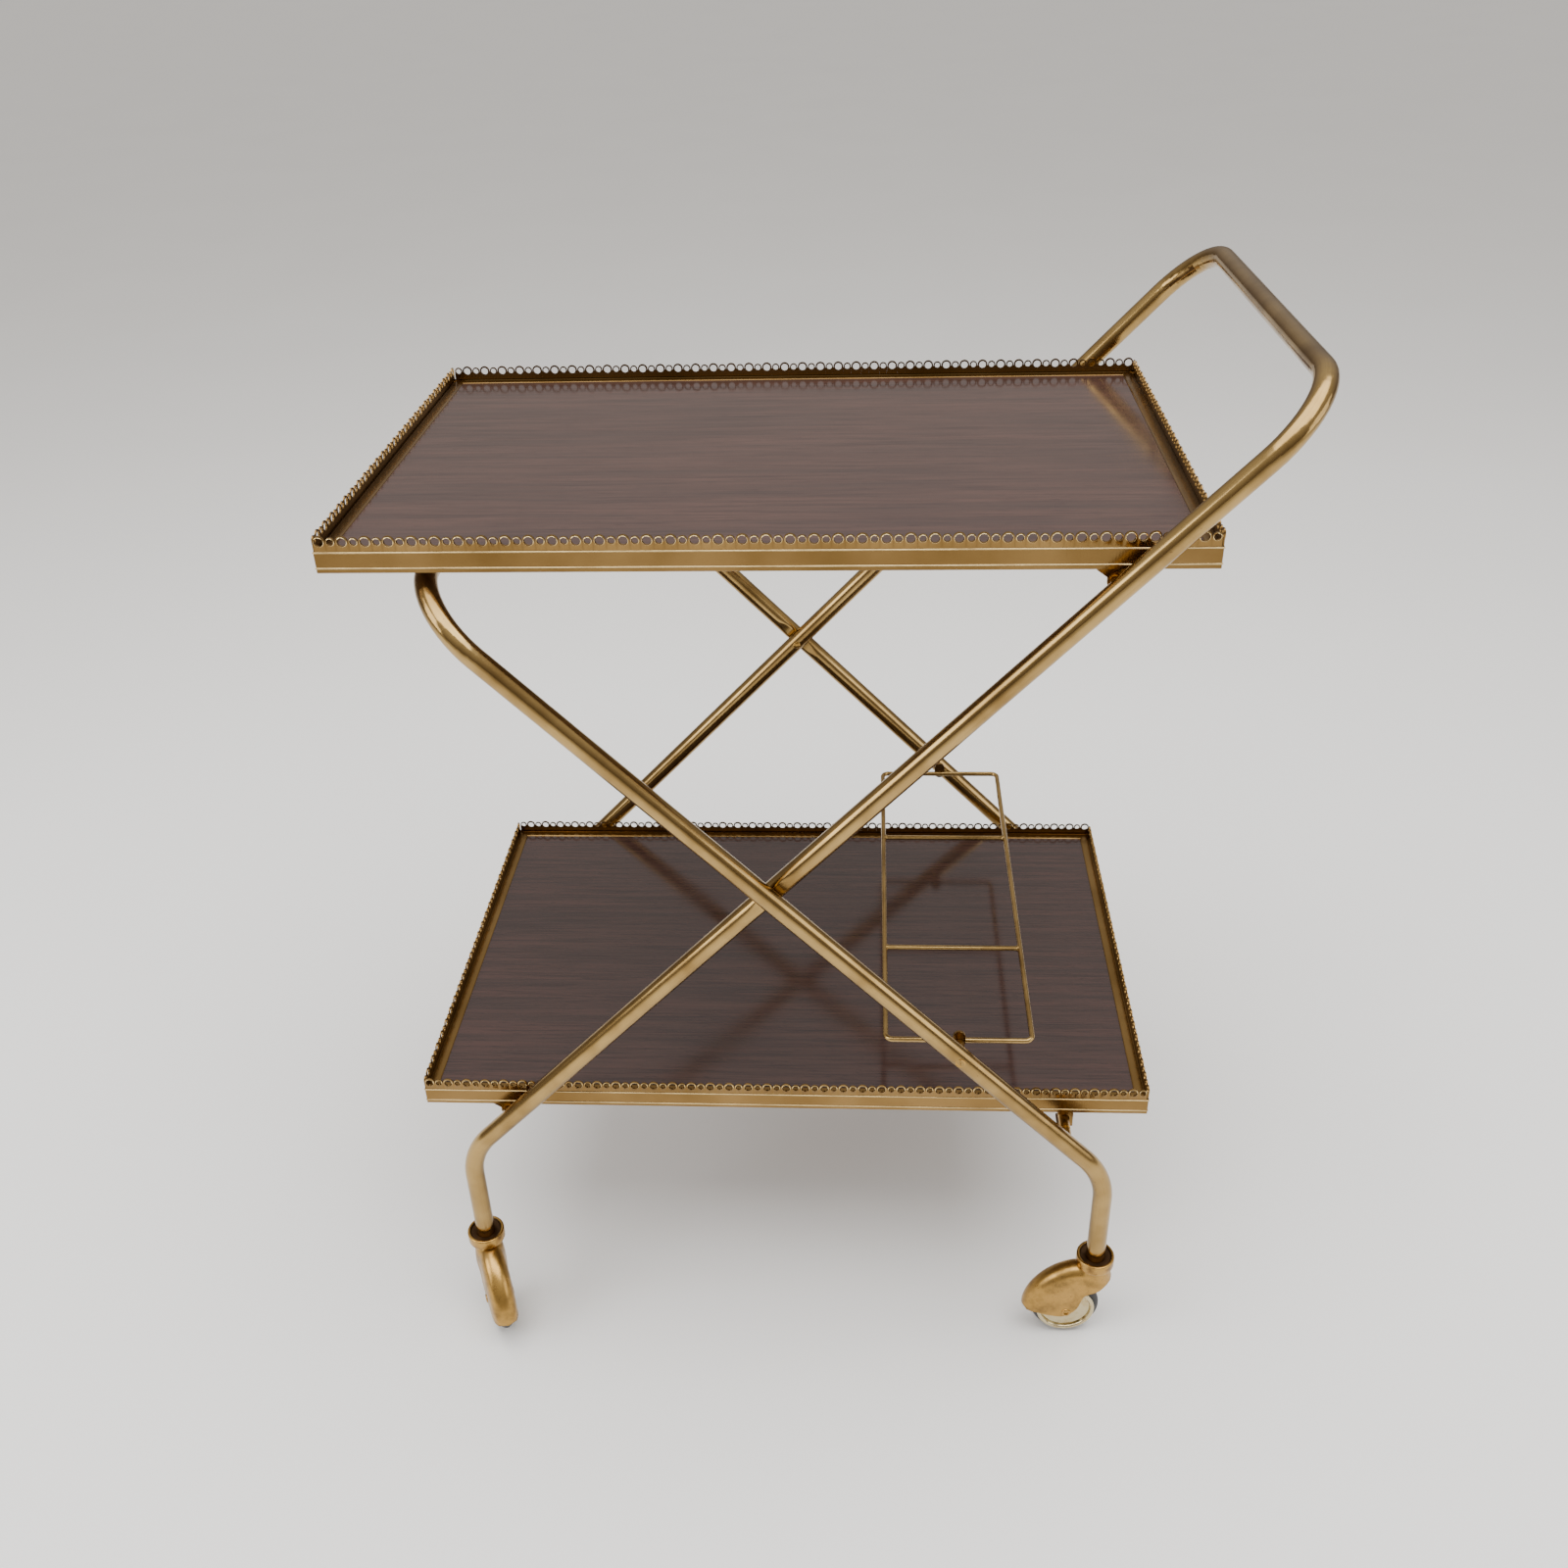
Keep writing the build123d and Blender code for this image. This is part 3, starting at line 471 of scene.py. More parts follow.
def drawn_brass_wire(tree, surface, colours, space):
    """Drawn brass wire, lacquered: smooth, with brown tarnish here and there."""
    patches = noise(tree, space, 30, detail=3.0)
    tone = mottled(tree, patches, 0.45, 0.75, colours.brass, colours.brass_deep)
    join(tree, surface, Base_Color=tone, Metallic=1.0, Roughness=0.22,
         Normal=bump(tree, noise(tree, space, 3, detail=2.0), 0.02))


def turned_brass(tree, surface, colours, space):
    """Turned brass of rivets, studs and cup rings: fine tool rings, with brown patches here and there."""
    along = on_surface(tree)
    rings = noise(tree, along, 0.5, (1, 60, 1), 2.0)
    patches = noise(tree, space, 9, detail=3.0)
    tone = mottled(tree, patches, 0.48, 0.75, colours.castor, colours.brass_brown)
    join(tree, surface, Base_Color=tone, Metallic=1.0,
         Roughness=between(tree, patches, 0.3, 0.8, 0.20, 0.36), Normal=bump(tree, rings, 0.01))


def worn_brass_casting(tree, surface, colours, space):
    """Thin cast brass, polished once and worn since: soft dents, scratches, brown specks."""
    patches = noise(tree, space, 14, detail=5.0, rough=0.65)
    scratches = noise(tree, space, 0.9, (14, 1.5, 1), 2.0)
    specks = noise(tree, space, 1.5, detail=3.0)
    tone = mottled(tree, patches, 0.46, 0.72, colours.castor, colours.brass_deep)
    spotted = mottled(tree, specks, 0.64, 0.76, tone, colours.brass_brown, 0.7)
    relief = bump(tree, scratches, 0.02)
    relief = bump(tree, noise(tree, space, 7, detail=2.0), 0.10, over=relief)
    join(tree, surface, Base_Color=spotted, Metallic=1.0, Normal=relief,
         Roughness=between(tree, patches, 0.3, 0.75, 0.24, 0.42))


def spun_disc(tree, surface, colours, space):
    """Pale brass sheet spun to a dish, polished, its lacquer worn thin: almost silvery.

    Spinning leaves fine rings round the hub.
    """
    along = on_surface(tree)
    rings = noise(tree, along, 0.6, (1, 60, 1), 2.0)
    patches = noise(tree, space, 8, detail=4.0, rough=0.6)
    tone = mottled(tree, patches, 0.50, 0.78, colours.disc, colours.castor, 0.7)
    join(tree, surface, Base_Color=tone, Metallic=1.0, Normal=bump(tree, rings, 0.012),
         Roughness=between(tree, patches, 0.3, 0.8, 0.18, 0.32))


def wood_grain_laminate(tree, surface, colours, space):
    """Melamine laminate printed with dark wood grain along X, pressed glossy.

    Long bands of redder and darker brown, with short dark pores; the gloss is nearly a mirror.
    """
    bands = noise(tree, space, 9, (22, 1, 1), 4.0, 0.6)
    fine = noise(tree, space, 1.6, (40, 1, 1), 3.0, 0.6)
    pores = noise(tree, space, 0.9, (14, 1, 1), 2.0)
    tone = mottled(tree, bands, 0.38, 0.66, colours.laminate_red, colours.laminate)
    tone = mottled(tree, fine, 0.46, 0.72, tone, colours.laminate_dark, 0.85)
    tone = mottled(tree, pores, 0.62, 0.72, tone, colours.laminate_dark, 0.7)
    relief = bump(tree, noise(tree, space, 45, detail=1.0), 0.02)
    join(tree, surface, Base_Color=tone, IOR=1.52, Normal=relief,
         Roughness=between(tree, noise(tree, space, 60, detail=2.0), 0.3, 0.7, 0.10, 0.16))


def tray_chipboard(tree, surface, colours, space):
    """Chipboard, stained dark brown underneath: pressed wood chips a few millimetres long."""
    chips = add(tree, "ShaderNodeTexVoronoi", {
        "Vector": add(tree, "ShaderNodeMapping", {
            "Vector": space, "Scale": (250, 420, 420)}).outputs[0], "Scale": 1.0}).outputs["Color"]
    tone = blend(tree, add(tree, "ShaderNodeRGBToBW", {0: chips}).outputs[0],
                 "#3B2A20", "#6B4E37")
    join(tree, surface, Base_Color=tone, Roughness=0.75,
         Normal=bump(tree, noise(tree, space, 2.5, detail=3.0), 0.08))


def black_rubber(tree, surface, colours, space):
    """Moulded rubber tyre, dusty and scuffed where it rolls."""
    dust = noise(tree, space, 5, detail=4.0, rough=0.7)
    tone = mottled(tree, dust, 0.48, 0.8, colours.tyre, "#4A443C", 0.6)
    join(tree, surface, Base_Color=tone, Roughness=between(tree, dust, 0.3, 0.7, 0.38, 0.62),
         Normal=bump(tree, noise(tree, space, 0.8, detail=2.0), 0.03))


def zinc_plated_steel(tree, surface, colours, space):
    """Zinc-plated steel of screws and stems, dull grey."""
    tone = blend(tree, noise(tree, space, 2.0, detail=3.0), "#8F8C84", "#B9B6AC")
    join(tree, surface, Base_Color=tone, Metallic=1.0, Roughness=0.38,
         Normal=bump(tree, noise(tree, space, 0.6), 0.01))


def moulded_nylon(tree, surface, colours, space):
    """Moulded nylon of the socket plugs, near black."""
    tone = blend(tree, noise(tree, space, 4.0), "#1B1815", "#2A251F")
    join(tree, surface, Base_Color=tone, Roughness=0.55,
         Normal=bump(tree, noise(tree, space, 0.7), 0.02))


FINISHES = {make.__name__: make for make in (
    lacquered_brass_tube, pressed_brass_sheet, ridge_highlight_brass, dish_shade_brass, drawn_brass_wire,
    turned_brass, worn_brass_casting,
    spun_disc, wood_grain_laminate, tray_chipboard, black_rubber, zinc_plated_steel, moulded_nylon)}


def material(name):
    """The finish of this name, made once."""
    made = bpy.data.materials.get(name)
    if made is None:
        made, tree, surface = shader(name)
        FINISHES[name](tree, surface, bpy.context.scene.trolley_colours, in_space(tree))
    return made


def face_middles(made):
    """The middle of each face of a piece."""
    faces = made.data.polygons
    middles = np.empty(len(faces) * 3, np.float32)
    faces.foreach_get("center", middles)
    return middles.reshape(-1, 3)


def second_finish(made, finish, chosen):
    """Another finish on the faces for which chosen is true."""
    made.data.materials.append(material(finish))
    made.data.polygons.foreach_set("material_index", chosen.astype(np.int32))


def finish_node(node, finish, bevel=0.0):
    """A carried-over CAD node's finish, with its edges broken where bevel is given."""
    kept = frame["nodes"][node]
    kept.data.materials.clear()
    kept.data.materials.append(material(finish))
    if bevel:
        weld = kept.modifiers.new("weld", "WELD")
        weld.merge_threshold = MERGE
        edge = kept.modifiers.new("edges", "BEVEL")
        edge.width = bevel
        edge.segments = 2
        edge.limit_method = "ANGLE"
        edge.angle_limit = math.radians(35)
    return kept


# ---- paths and solids of the pieces ----------------------------------------------------------
def rounded(points, radii, step):
    """Runs joined by tangent arcs, with a point at least every step.

    An arc starts radius tan(turn / 2) before its corner, and its points are
    start + radius (sin a along + (1 - cos a) side).
    """
    points = [np.asarray(point, float) for point in points]
    line = [points[0][None]]
    for before, corner, after, radius in zip(points, points[1:], points[2:], radii):
        along, leaving = unit(corner - before), unit(after - corner)
        turn = math.acos(float(along @ leaving))
        side = unit(leaving - along * (along @ leaving))
        angle = np.linspace(0, turn, ARC_POINTS)[:, None]
        start = corner - along * radius * math.tan(turn / 2)
        line.append(start + radius * (np.sin(angle) * along + (1 - np.cos(angle)) * side))
    line = np.concatenate(line + [points[-1][None]])
    run = travel(line)
    stops = np.unique(np.round(np.append(run, np.arange(0, run[-1], step)), 6))
    return np.stack([np.interp(stops, run, line[:, k]) for k in range(3)], -1)


def tube_surface(half, slope, reach, facing):
    """A bent tube: half of it carried along foot, leg and crossbar, then mirrored behind.

    The section's directions are b = (leg direction) x Y and t x b. Where the tubes cross, y is
    held at the crossing plane within the flat's radius, and eased off in a cone round it.
    """
    sizes = bpy.context.scene.trolley_sizes
    pivot = np.array(JOINTS["scissor_fold"]["pos_m"])
    foot = pivot - slope * reach["foot"]
    top = pivot + slope * reach["top"]
    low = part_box("front_left_cup_ring")[0][2] + CUP_FLOOR
    corners = [(foot[0], -half, low), (foot[0], -half, foot[2]), (top[0], -half, top[2]),
               (top[0], 0, top[2])]
    centres = rounded(corners, (sizes.foot_bend, sizes.end_bend), TUBE_STEP)
    along = unit(np.gradient(centres, axis=0))
    flat_part = along * (1, 0, 1)
    lengths = np.linalg.norm(flat_part, axis=1, keepdims=True)
    flat_part = np.where(lengths > 0.05, flat_part / np.maximum(lengths, 0.05), slope)
    first = unit(np.cross(flat_part, ACROSS))
    second = np.cross(along, first)
    surface = Surface()
    outline = circle(sizes.tube_r, TUBE_SIDES)
    points = (centres[:, None] + outline[None, :, :1] * first[:, None]
              + outline[None, :, 1:] * second[:, None])
    away = np.hypot(points[..., 0] - pivot[0], points[..., 2] - pivot[2])
    eased = DENT_RISE * np.maximum(away - sizes.dent_flat, 0)
    limit = crossing_plane() + facing * (sizes.cross_gap / 2 - eased)
    hold = np.maximum if facing > 0 else np.minimum
    held = -hold(-points[..., 1], limit)
    points[..., 1] = np.where(away < DENT_REACH, held, points[..., 1])
    run = travel(centres)
    around = np.arange(TUBE_SIDES + 1) * TAU / TUBE_SIDES * sizes.tube_r
    surface.grid(points, u=np.append(run, run[-1]), v=around, ring=True)
    surface.grid(points * (1, -1, 1), u=np.append(2 * run[-1] - run, 0), v=around, ring=True)
    return surface


def crossing_plane():
    """Distance of the plane where the tubes touch, from the trolley's middle."""
    inner = abs(JOINTS["front_left_swivel"]["pos_m"][1])
    outer = abs(JOINTS["front_right_swivel"]["pos_m"][1])
    return (inner + outer) / 2


def rail_section(sizes):
    """A rail's section as (depth behind its ridges' crest, height above its lower edge).

    Sheet with two half-round ridges outside, a groove behind, and the crowned lip inwards.
    """
    front, back = sizes.ridge, sizes.ridge + sizes.wall
    top, edge = sizes.upper_ridge, back + sizes.lip
    outline = [(front, 0.0003)]
    for middle in (sizes.lower_ridge, sizes.upper_ridge):
        outline += arc((front, middle), sizes.ridge, -90, -270, 6)
    groove = GROOVE_DEPTH
    outline += [(back, top + sizes.ridge), (back, top - 0.1 * MM)]
    outline += [(back + 0.35 * MM, top - groove), (back + 1.5 * MM, top - groove)]
    outline += [(back + 2.0 * MM, top - 0.1 * MM), (back + 3.2 * MM, top)]
    outline += [(edge - 1.5 * MM, top), (edge - 0.4 * MM, top - 0.12 * MM)]
    outline += [(edge, top - 0.45 * MM), (edge, top - LIP_THICK), (back, top - LIP_THICK)]
    outline += [(back, 0.0003), ((front + back) / 2, 0.0)]
    return np.array(outline)


def rail_surface(node):
    """One pierced rail: its section carried between two mitres, and a cell round each hole.

    A point of the section at depth d ends at half the length less d. A cell is a ring of points
    at hole, crest, shoulder and edge; its edge is the ring's circle above the strip, and the
    cell's rectangle below it.
    """
    sizes = bpy.context.scene.trolley_sizes
    low, high = (np.array(corner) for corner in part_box(node))
    side = node.rsplit("_", 1)[1]
    out = {"front": -ACROSS, "back": ACROSS, "left": np.array([-1.0, 0, 0]),
           "right": np.array([1.0, 0, 0])}[side]
    middle = (low + high) / 2
    reach = np.abs((high - low) @ np.abs(out)) / 2
    centre = middle + out * reach
    centre[2] = low[2]
    along = np.cross(UP, -out)
    length = float((high - low) @ np.abs(along))

    def place(x, d, z):
        """The point x along the rail, d behind its outer face and z above its lower edge."""
        return centre + x[..., None] * along - d[..., None] * out + z[..., None] * UP

    surface = Surface()
    section = rail_section(sizes)
    share = np.linspace(-1, 1, RAIL_STEPS)[:, None]
    x = share * (length / 2 - section[None, :, 0])
    points = place(x, *(np.broadcast_to(section[:, k], x.shape) for k in (0, 1)))
    run = np.linspace(0, length, RAIL_STEPS)
    surface.grid(points, u=np.append(run, length), ring=True)
    height = float(high[2] - low[2])
    hole_z = height - sizes.large_ring
    count = int((length - 2 * sizes.corner_margin) / sizes.hole_pitch) + 1
    order = np.arange(count)
    large = ((count - 1 - order) % 2 == 0)[:, None]
    x0 = ((order - (count - 1) / 2) * sizes.hole_pitch)[:, None]
    ring = np.where(large, sizes.large_ring, sizes.small_ring)
    hole = np.where(large, sizes.large_hole, sizes.small_hole)
    wider = (sizes.large_ring - sizes.small_ring) / 2
    wide = sizes.hole_pitch / 2 + np.where(large, wider, -wider) - CELL_GAP
    deep = hole_z - sizes.upper_ridge
    root = np.arctan2(RING_ROOT, wide)
    corner = np.arctan2(deep, wide)
    start = root - math.radians(3)
    upper = -start + np.linspace(0, 1, 11)[None] * (math.pi + 2 * start)
    lower = [math.pi + root, math.pi + (root + corner) / 2, math.pi + corner,
             np.full_like(root, 1.5 * math.pi), TAU - corner, TAU - (root + corner) / 2,
             TAU - root]
    angle = np.concatenate([upper, *lower], axis=1)
    cos, sin = np.cos(angle), np.sin(angle)
    box = np.minimum(wide / np.maximum(np.abs(cos), 1e-9), deep / np.maximum(np.abs(sin), 1e-9))
    edge = np.where(np.arange(angle.shape[1])[None] < upper.shape[1], ring, np.maximum(ring, box))
    front, back = sizes.ridge, sizes.ridge + sizes.wall
    crest = hole + RIM_CREST
    shoulder = hole + RIM_SHOULDER
    radii = [np.broadcast_to(r, angle.shape) for r in (hole, crest, shoulder, edge, edge)]
    depth = np.array([back, front - RING_RAISE, front, front, back])
    radius = np.stack(radii, 1)
    x = np.clip(x0[..., None] + radius * cos[:, None], -length / 2 + back, length / 2 - back)
    z = hole_z + radius * sin[:, None]
    d = np.broadcast_to(depth[None, :, None], x.shape)
    surface.cells(place(x, d, z), np.stack([x, z], -1))
    return surface


def hood_height(t, z):
    """Half-width of the hood at trail t and height z: a rounded back and a neck, run together.

    Back: W sqrt(1 - g^5) with g = ((t - n) / a)^1.75 + ((z - w) / b)^1.75, zero short of n and w.
    Neck: N sqrt(1 - (t / r)^2) where r grows downwards. Together: (back^6 + neck^6)^(1/6).
    """
    rear = np.maximum(t - HOOD["neck"], 0) / (HOOD["tail"] - HOOD["neck"])
    front = np.maximum(HOOD["neck"] - t, 0) / (HOOD["neck"] + HOOD["skirt"])
    rise = np.maximum(z - HOOD["tail_z"], 0) / (HOOD["top"] - HOOD["tail_z"])
    g = rear ** 1.75 + front ** 2 + rise ** 1.75
    body = HOOD["half"] * np.sqrt(np.maximum(1 - g ** 5, 0))
    reach = HOOD["neck"] + HOOD["flare"] * (HOOD["top"] - z)
    neck = HOOD["neck"] * np.sqrt(np.maximum(1 - (t / reach) ** 2, 0))
    return (body ** 6 + neck ** 6) ** (1 / 6)


def smooth_line(points, steps=12):
    """A Catmull-Rom curve through a few points in a plane."""
    points = np.asarray(points, float)
    held = np.concatenate([2 * points[:1] - points[1:2], points, 2 * points[-1:] - points[-2:-1]])
    s = np.linspace(0, 1, steps, endpoint=False)[None, :, None]
    a, b, c, d = (held[k:len(held) - 3 + k, None] for k in range(4))
    curve = 0.5 * (2 * b + (c - a) * s + (2 * a - 5 * b + 4 * c - d) * s ** 2
                   + (3 * b - a - 3 * c + d) * s ** 3)
    return np.concatenate([curve.reshape(-1, 2), points[-1:]])


def hood_surface(place):
    """The hood as two mirrored sheets over its side view.

    Rays leave one point inside the side view; each ends at the hood's outline or at its lower
    edge, found by halving. Points along a ray stand at sin(s), so that they are even round the
    crown, and their distance from the middle plane is hood_height.
    """
    heart = np.array(HOOD["heart"])
    edge = smooth_line(HOOD["edge"]) - heart
    edge_angle = np.unwrap(np.arctan2(edge[:, 1], edge[:, 0]))
    edge_reach = np.hypot(edge[:, 0], edge[:, 1])
    order = np.argsort(edge_angle)
    angle = np.linspace(edge_angle.min(), edge_angle.min() + TAU, HOOD_RAYS + 1)[:-1]
    direction = np.stack([np.cos(angle), np.sin(angle)], -1)
    near, far = np.zeros(len(angle)), np.full(len(angle), FARTHEST)
    for _ in range(HALVINGS):
        middle = (near + far) / 2
        spot = heart + direction * middle[:, None]
        inside = (hood_height(spot[:, 0], spot[:, 1]) > 0) & (spot[:, 1] < HOOD["top"])
        near, far = np.where(inside, middle, near), np.where(inside, far, middle)
    cut = np.interp(angle, edge_angle[order], edge_reach[order], left=1, right=1)
    reach = np.minimum(near, cut)
    s = np.sin(np.linspace(0, math.pi / 2, HOOD_RINGS))
    spots = heart + direction[None] * (s[:, None] * reach[None])[..., None]
    half = hood_height(spots[..., 0], spots[..., 1])
    half[-1] = np.where((near <= cut) & (spots[-1, :, 1] < HOOD["top"] - 1e-5), 0, half[-1])
    surface = Surface()
    u, v = np.arange(HOOD_RINGS + 1) * 2 * MM, np.arange(HOOD_RAYS + 1) * MM
    for sign in (1, -1):
        surface.grid(place(spots[..., 0], sign * half, spots[..., 1]), u=u, v=v, ring=True)
    return surface


def wheel_outlines(tyre_box, disc_box):
    """(radius, height) outlines of a wheel's tyre and disc, from the boxes of their nodes."""
    tyre_r = (tyre_box[1][2] - tyre_box[0][2]) / 2
    disc_r = (disc_box[1][2] - disc_box[0][2]) / 2 - WHEEL["shy"]
    half = WHEEL["tyre_width"] / 2
    crown = [(tyre_r - WHEEL["crown"] * (1 - math.cos(a)), half * math.sin(a))
             for a in np.linspace(-math.pi / 2, math.pi / 2, 17)]
    inside = disc_r - 5 * MM
    tyre = [(inside, -half), *crown, (inside, half), (inside, -half)]
    face = half + WHEEL["flange"]
    roll = WHEEL["roll"]
    hub = WHEEL["hub"] / 2
    side = [(0, hub), (5.4 * MM, hub), (6 * MM, hub - 0.6 * MM),
            (6.2 * MM, face - 2.2 * MM), (9 * MM, face - 3.2 * MM), (14 * MM, face - 3.2 * MM),
            (18 * MM, face - 2.8 * MM), (disc_r - 2 * roll - 0.4 * MM, face - 1.6 * MM)]
    side += arc((disc_r - roll, face), roll, 180, -60, 8) + [(disc_r - 1.2 * roll, half)]
    disc = side + [(disc_r - 4.2 * MM, half)]
    disc = disc + [(r, -h) for r, h in reversed(disc)]
    return tyre, disc


# ---- the operators ---------------------------------------------------------------------------
class TROLLEY_OT_stage(bpy.types.Operator):
    """Sets up the camera, a plain pale floor and soft studio light"""
    bl_idname = "trolley.stage"
    bl_label = "Stage"

    def execute(self, context):
        settings = context.scene.trolley_stage
        eye = bpy.data.objects.new("Camera", bpy.data.cameras.new("Camera"))
        eye.data.lens = settings.lens
        eye.data.clip_end = 100
        eye.location = settings.place
        turn = Euler((math.pi / 2 - settings.tilt, 0, settings.pan)).to_matrix()
        roll = Euler((0, 0, -settings.roll)).to_matrix()
        eye.rotation_euler = (turn @ roll).to_euler()
        context.scene.collection.objects.link(eye)
        context.scene.camera = eye
        self.floor(context)
        for name, (place, turn, size, power) in LIGHTS.items():
            self.light(name, place, [math.radians(angle) for angle in turn], size, power)
        self.sky(context)
        return {"FINISHED"}

    def floor(self, context):
        """A plain painted floor, far wider than the view."""
        mesh = bpy.data.meshes.new("floor")
        side = FLOOR_REACH
        mesh.from_pydata([(-side, -side, 0), (side, -side, 0), (side, side, 0), (-side, side, 0)],
                         [], [(0, 1, 2, 3)])
        made, tree, surface = shader("painted_floor")
        space = in_space(tree)
        join(tree, surface, Base_Color=linear(context.scene.trolley_colours.floor),
             Roughness=between(tree, noise(tree, space, 400), 0.3, 0.7, 0.5, 0.62))
        mesh.materials.append(made)
        ground = bpy.data.objects.new("floor", mesh)
        context.scene.collection.objects.link(ground)

    def light(self, name, place, turn, size, power):
        """One rectangular soft light."""
        lamp = bpy.data.lights.new(name, "AREA")
        lamp.shape = "RECTANGLE"
        lamp.size, lamp.size_y = size
        lamp.energy = power
        made = bpy.data.objects.new(name, lamp)
        made.location = place
        made.rotation_euler = turn
        bpy.context.scene.collection.objects.link(made)

    def sky(self, context):
        """Room light: darker and warmer near the horizon, pale above."""
        world = context.scene.world or bpy.data.worlds.new("room")
        context.scene.world = world
        world.use_nodes = True
        tree = world.node_tree
        tree.nodes.clear()
        height = add(tree, "ShaderNodeSeparateXYZ", {
            0: add(tree, "ShaderNodeTexCoord").outputs["Generated"]}).outputs[2]
        amount = between(tree, height, -0.05, 0.75)
        shade = blend(tree, amount, "#6B5C4D", "#EFECE8")
        glow = add(tree, "ShaderNodeBackground", {"Color": shade, "Strength": 1.0})
        add(tree, "ShaderNodeOutputWorld", {"Surface": glow.outputs[0]})


class TROLLEY_OT_tubes(bpy.types.Operator):
    """Bends both tubes and dents them where they cross"""
    bl_idname = "trolley.tubes"
    bl_label = "Bent tubes"

    def execute(self, context):
        pivot = np.array(JOINTS["scissor_fold"]["pos_m"])
        grip = np.array(MOUNTS["handle_grip"]["pos_m"])
        hinge = np.array(JOINTS["upper_tray_tilt"]["pos_m"])
        rise = unit(hinge - pivot)
        fall = rise * (-1, 1, 1)
        foot = abs(JOINTS["front_left_swivel"]["pos_m"][0] - pivot[0]) / rise[0]
        inner = abs(JOINTS["front_left_swivel"]["pos_m"][1])
        outer = abs(JOINTS["front_right_swivel"]["pos_m"][1])
        long = np.linalg.norm(grip - pivot)
        short = np.linalg.norm(hinge - pivot)
        tube_surface(inner, rise, {"foot": foot, "top": long}, -1).piece(
            "handle_tube_bent", "lacquered_brass_tube", "handle_frame", ["handle_tube"])
        tube_surface(outer, fall, {"foot": foot, "top": short}, 1).piece(
            "support_tube_bent", "lacquered_brass_tube", "support_frame", ["support_tube"])
        return {"FINISHED"}


class TROLLEY_OT_rails(bpy.types.Operator):
    """Presses the eight pierced rails"""
    bl_idname = "trolley.rails"
    bl_label = "Pierced rails"

    def execute(self, context):
        for tray in TRAYS:
            for rail in RAILS:
                node = f"{tray}_{rail}"
                strip = rail_surface(node).piece(
                    node + "_pierced", "pressed_brass_sheet", f"{tray}_tray", [node], crease=50)
                axis, end, sign = OUTER[rail]
                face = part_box(node)[end][axis]
                middles = face_middles(strip)
                # faces near the outer face, the ridge crests and hole rims, get the pale painted highlight finish
                second_finish(strip, "ridge_highlight_brass", sign * (face - middles[:, axis]) < HIGHLIGHT_DEPTH)
        return {"FINISHED"}


class TROLLEY_OT_plates(bpy.types.Operator):
    """Finishes the boards, laminates, ears, hooks, tabs and screws that keep their CAD shape"""
    bl_idname = "trolley.plates"
    bl_label = "Boards, plates and screws"

    def execute(self, context):
        for tray in TRAYS:
            finish_node(f"{tray}_laminate", "wood_grain_laminate")
            finish_node(f"{tray}_board", "tray_chipboard")
            finish_node(f"{tray}_hinge_ears", "pressed_brass_sheet", 0.35 * MM)
            finish_node(f"{tray}_hooks", "pressed_brass_sheet", 0.4 * MM)
            finish_node(f"{tray}_plate_screws", "zinc_plated_steel")
        finish_node("rack_tabs", "pressed_brass_sheet", 0.3 * MM)
        for corner in CORNERS:
            finish_node(f"{corner}_castor_stem", "zinc_plated_steel")
            finish_node(f"{corner}_socket_plug", "moulded_nylon")
        return {"FINISHED"}


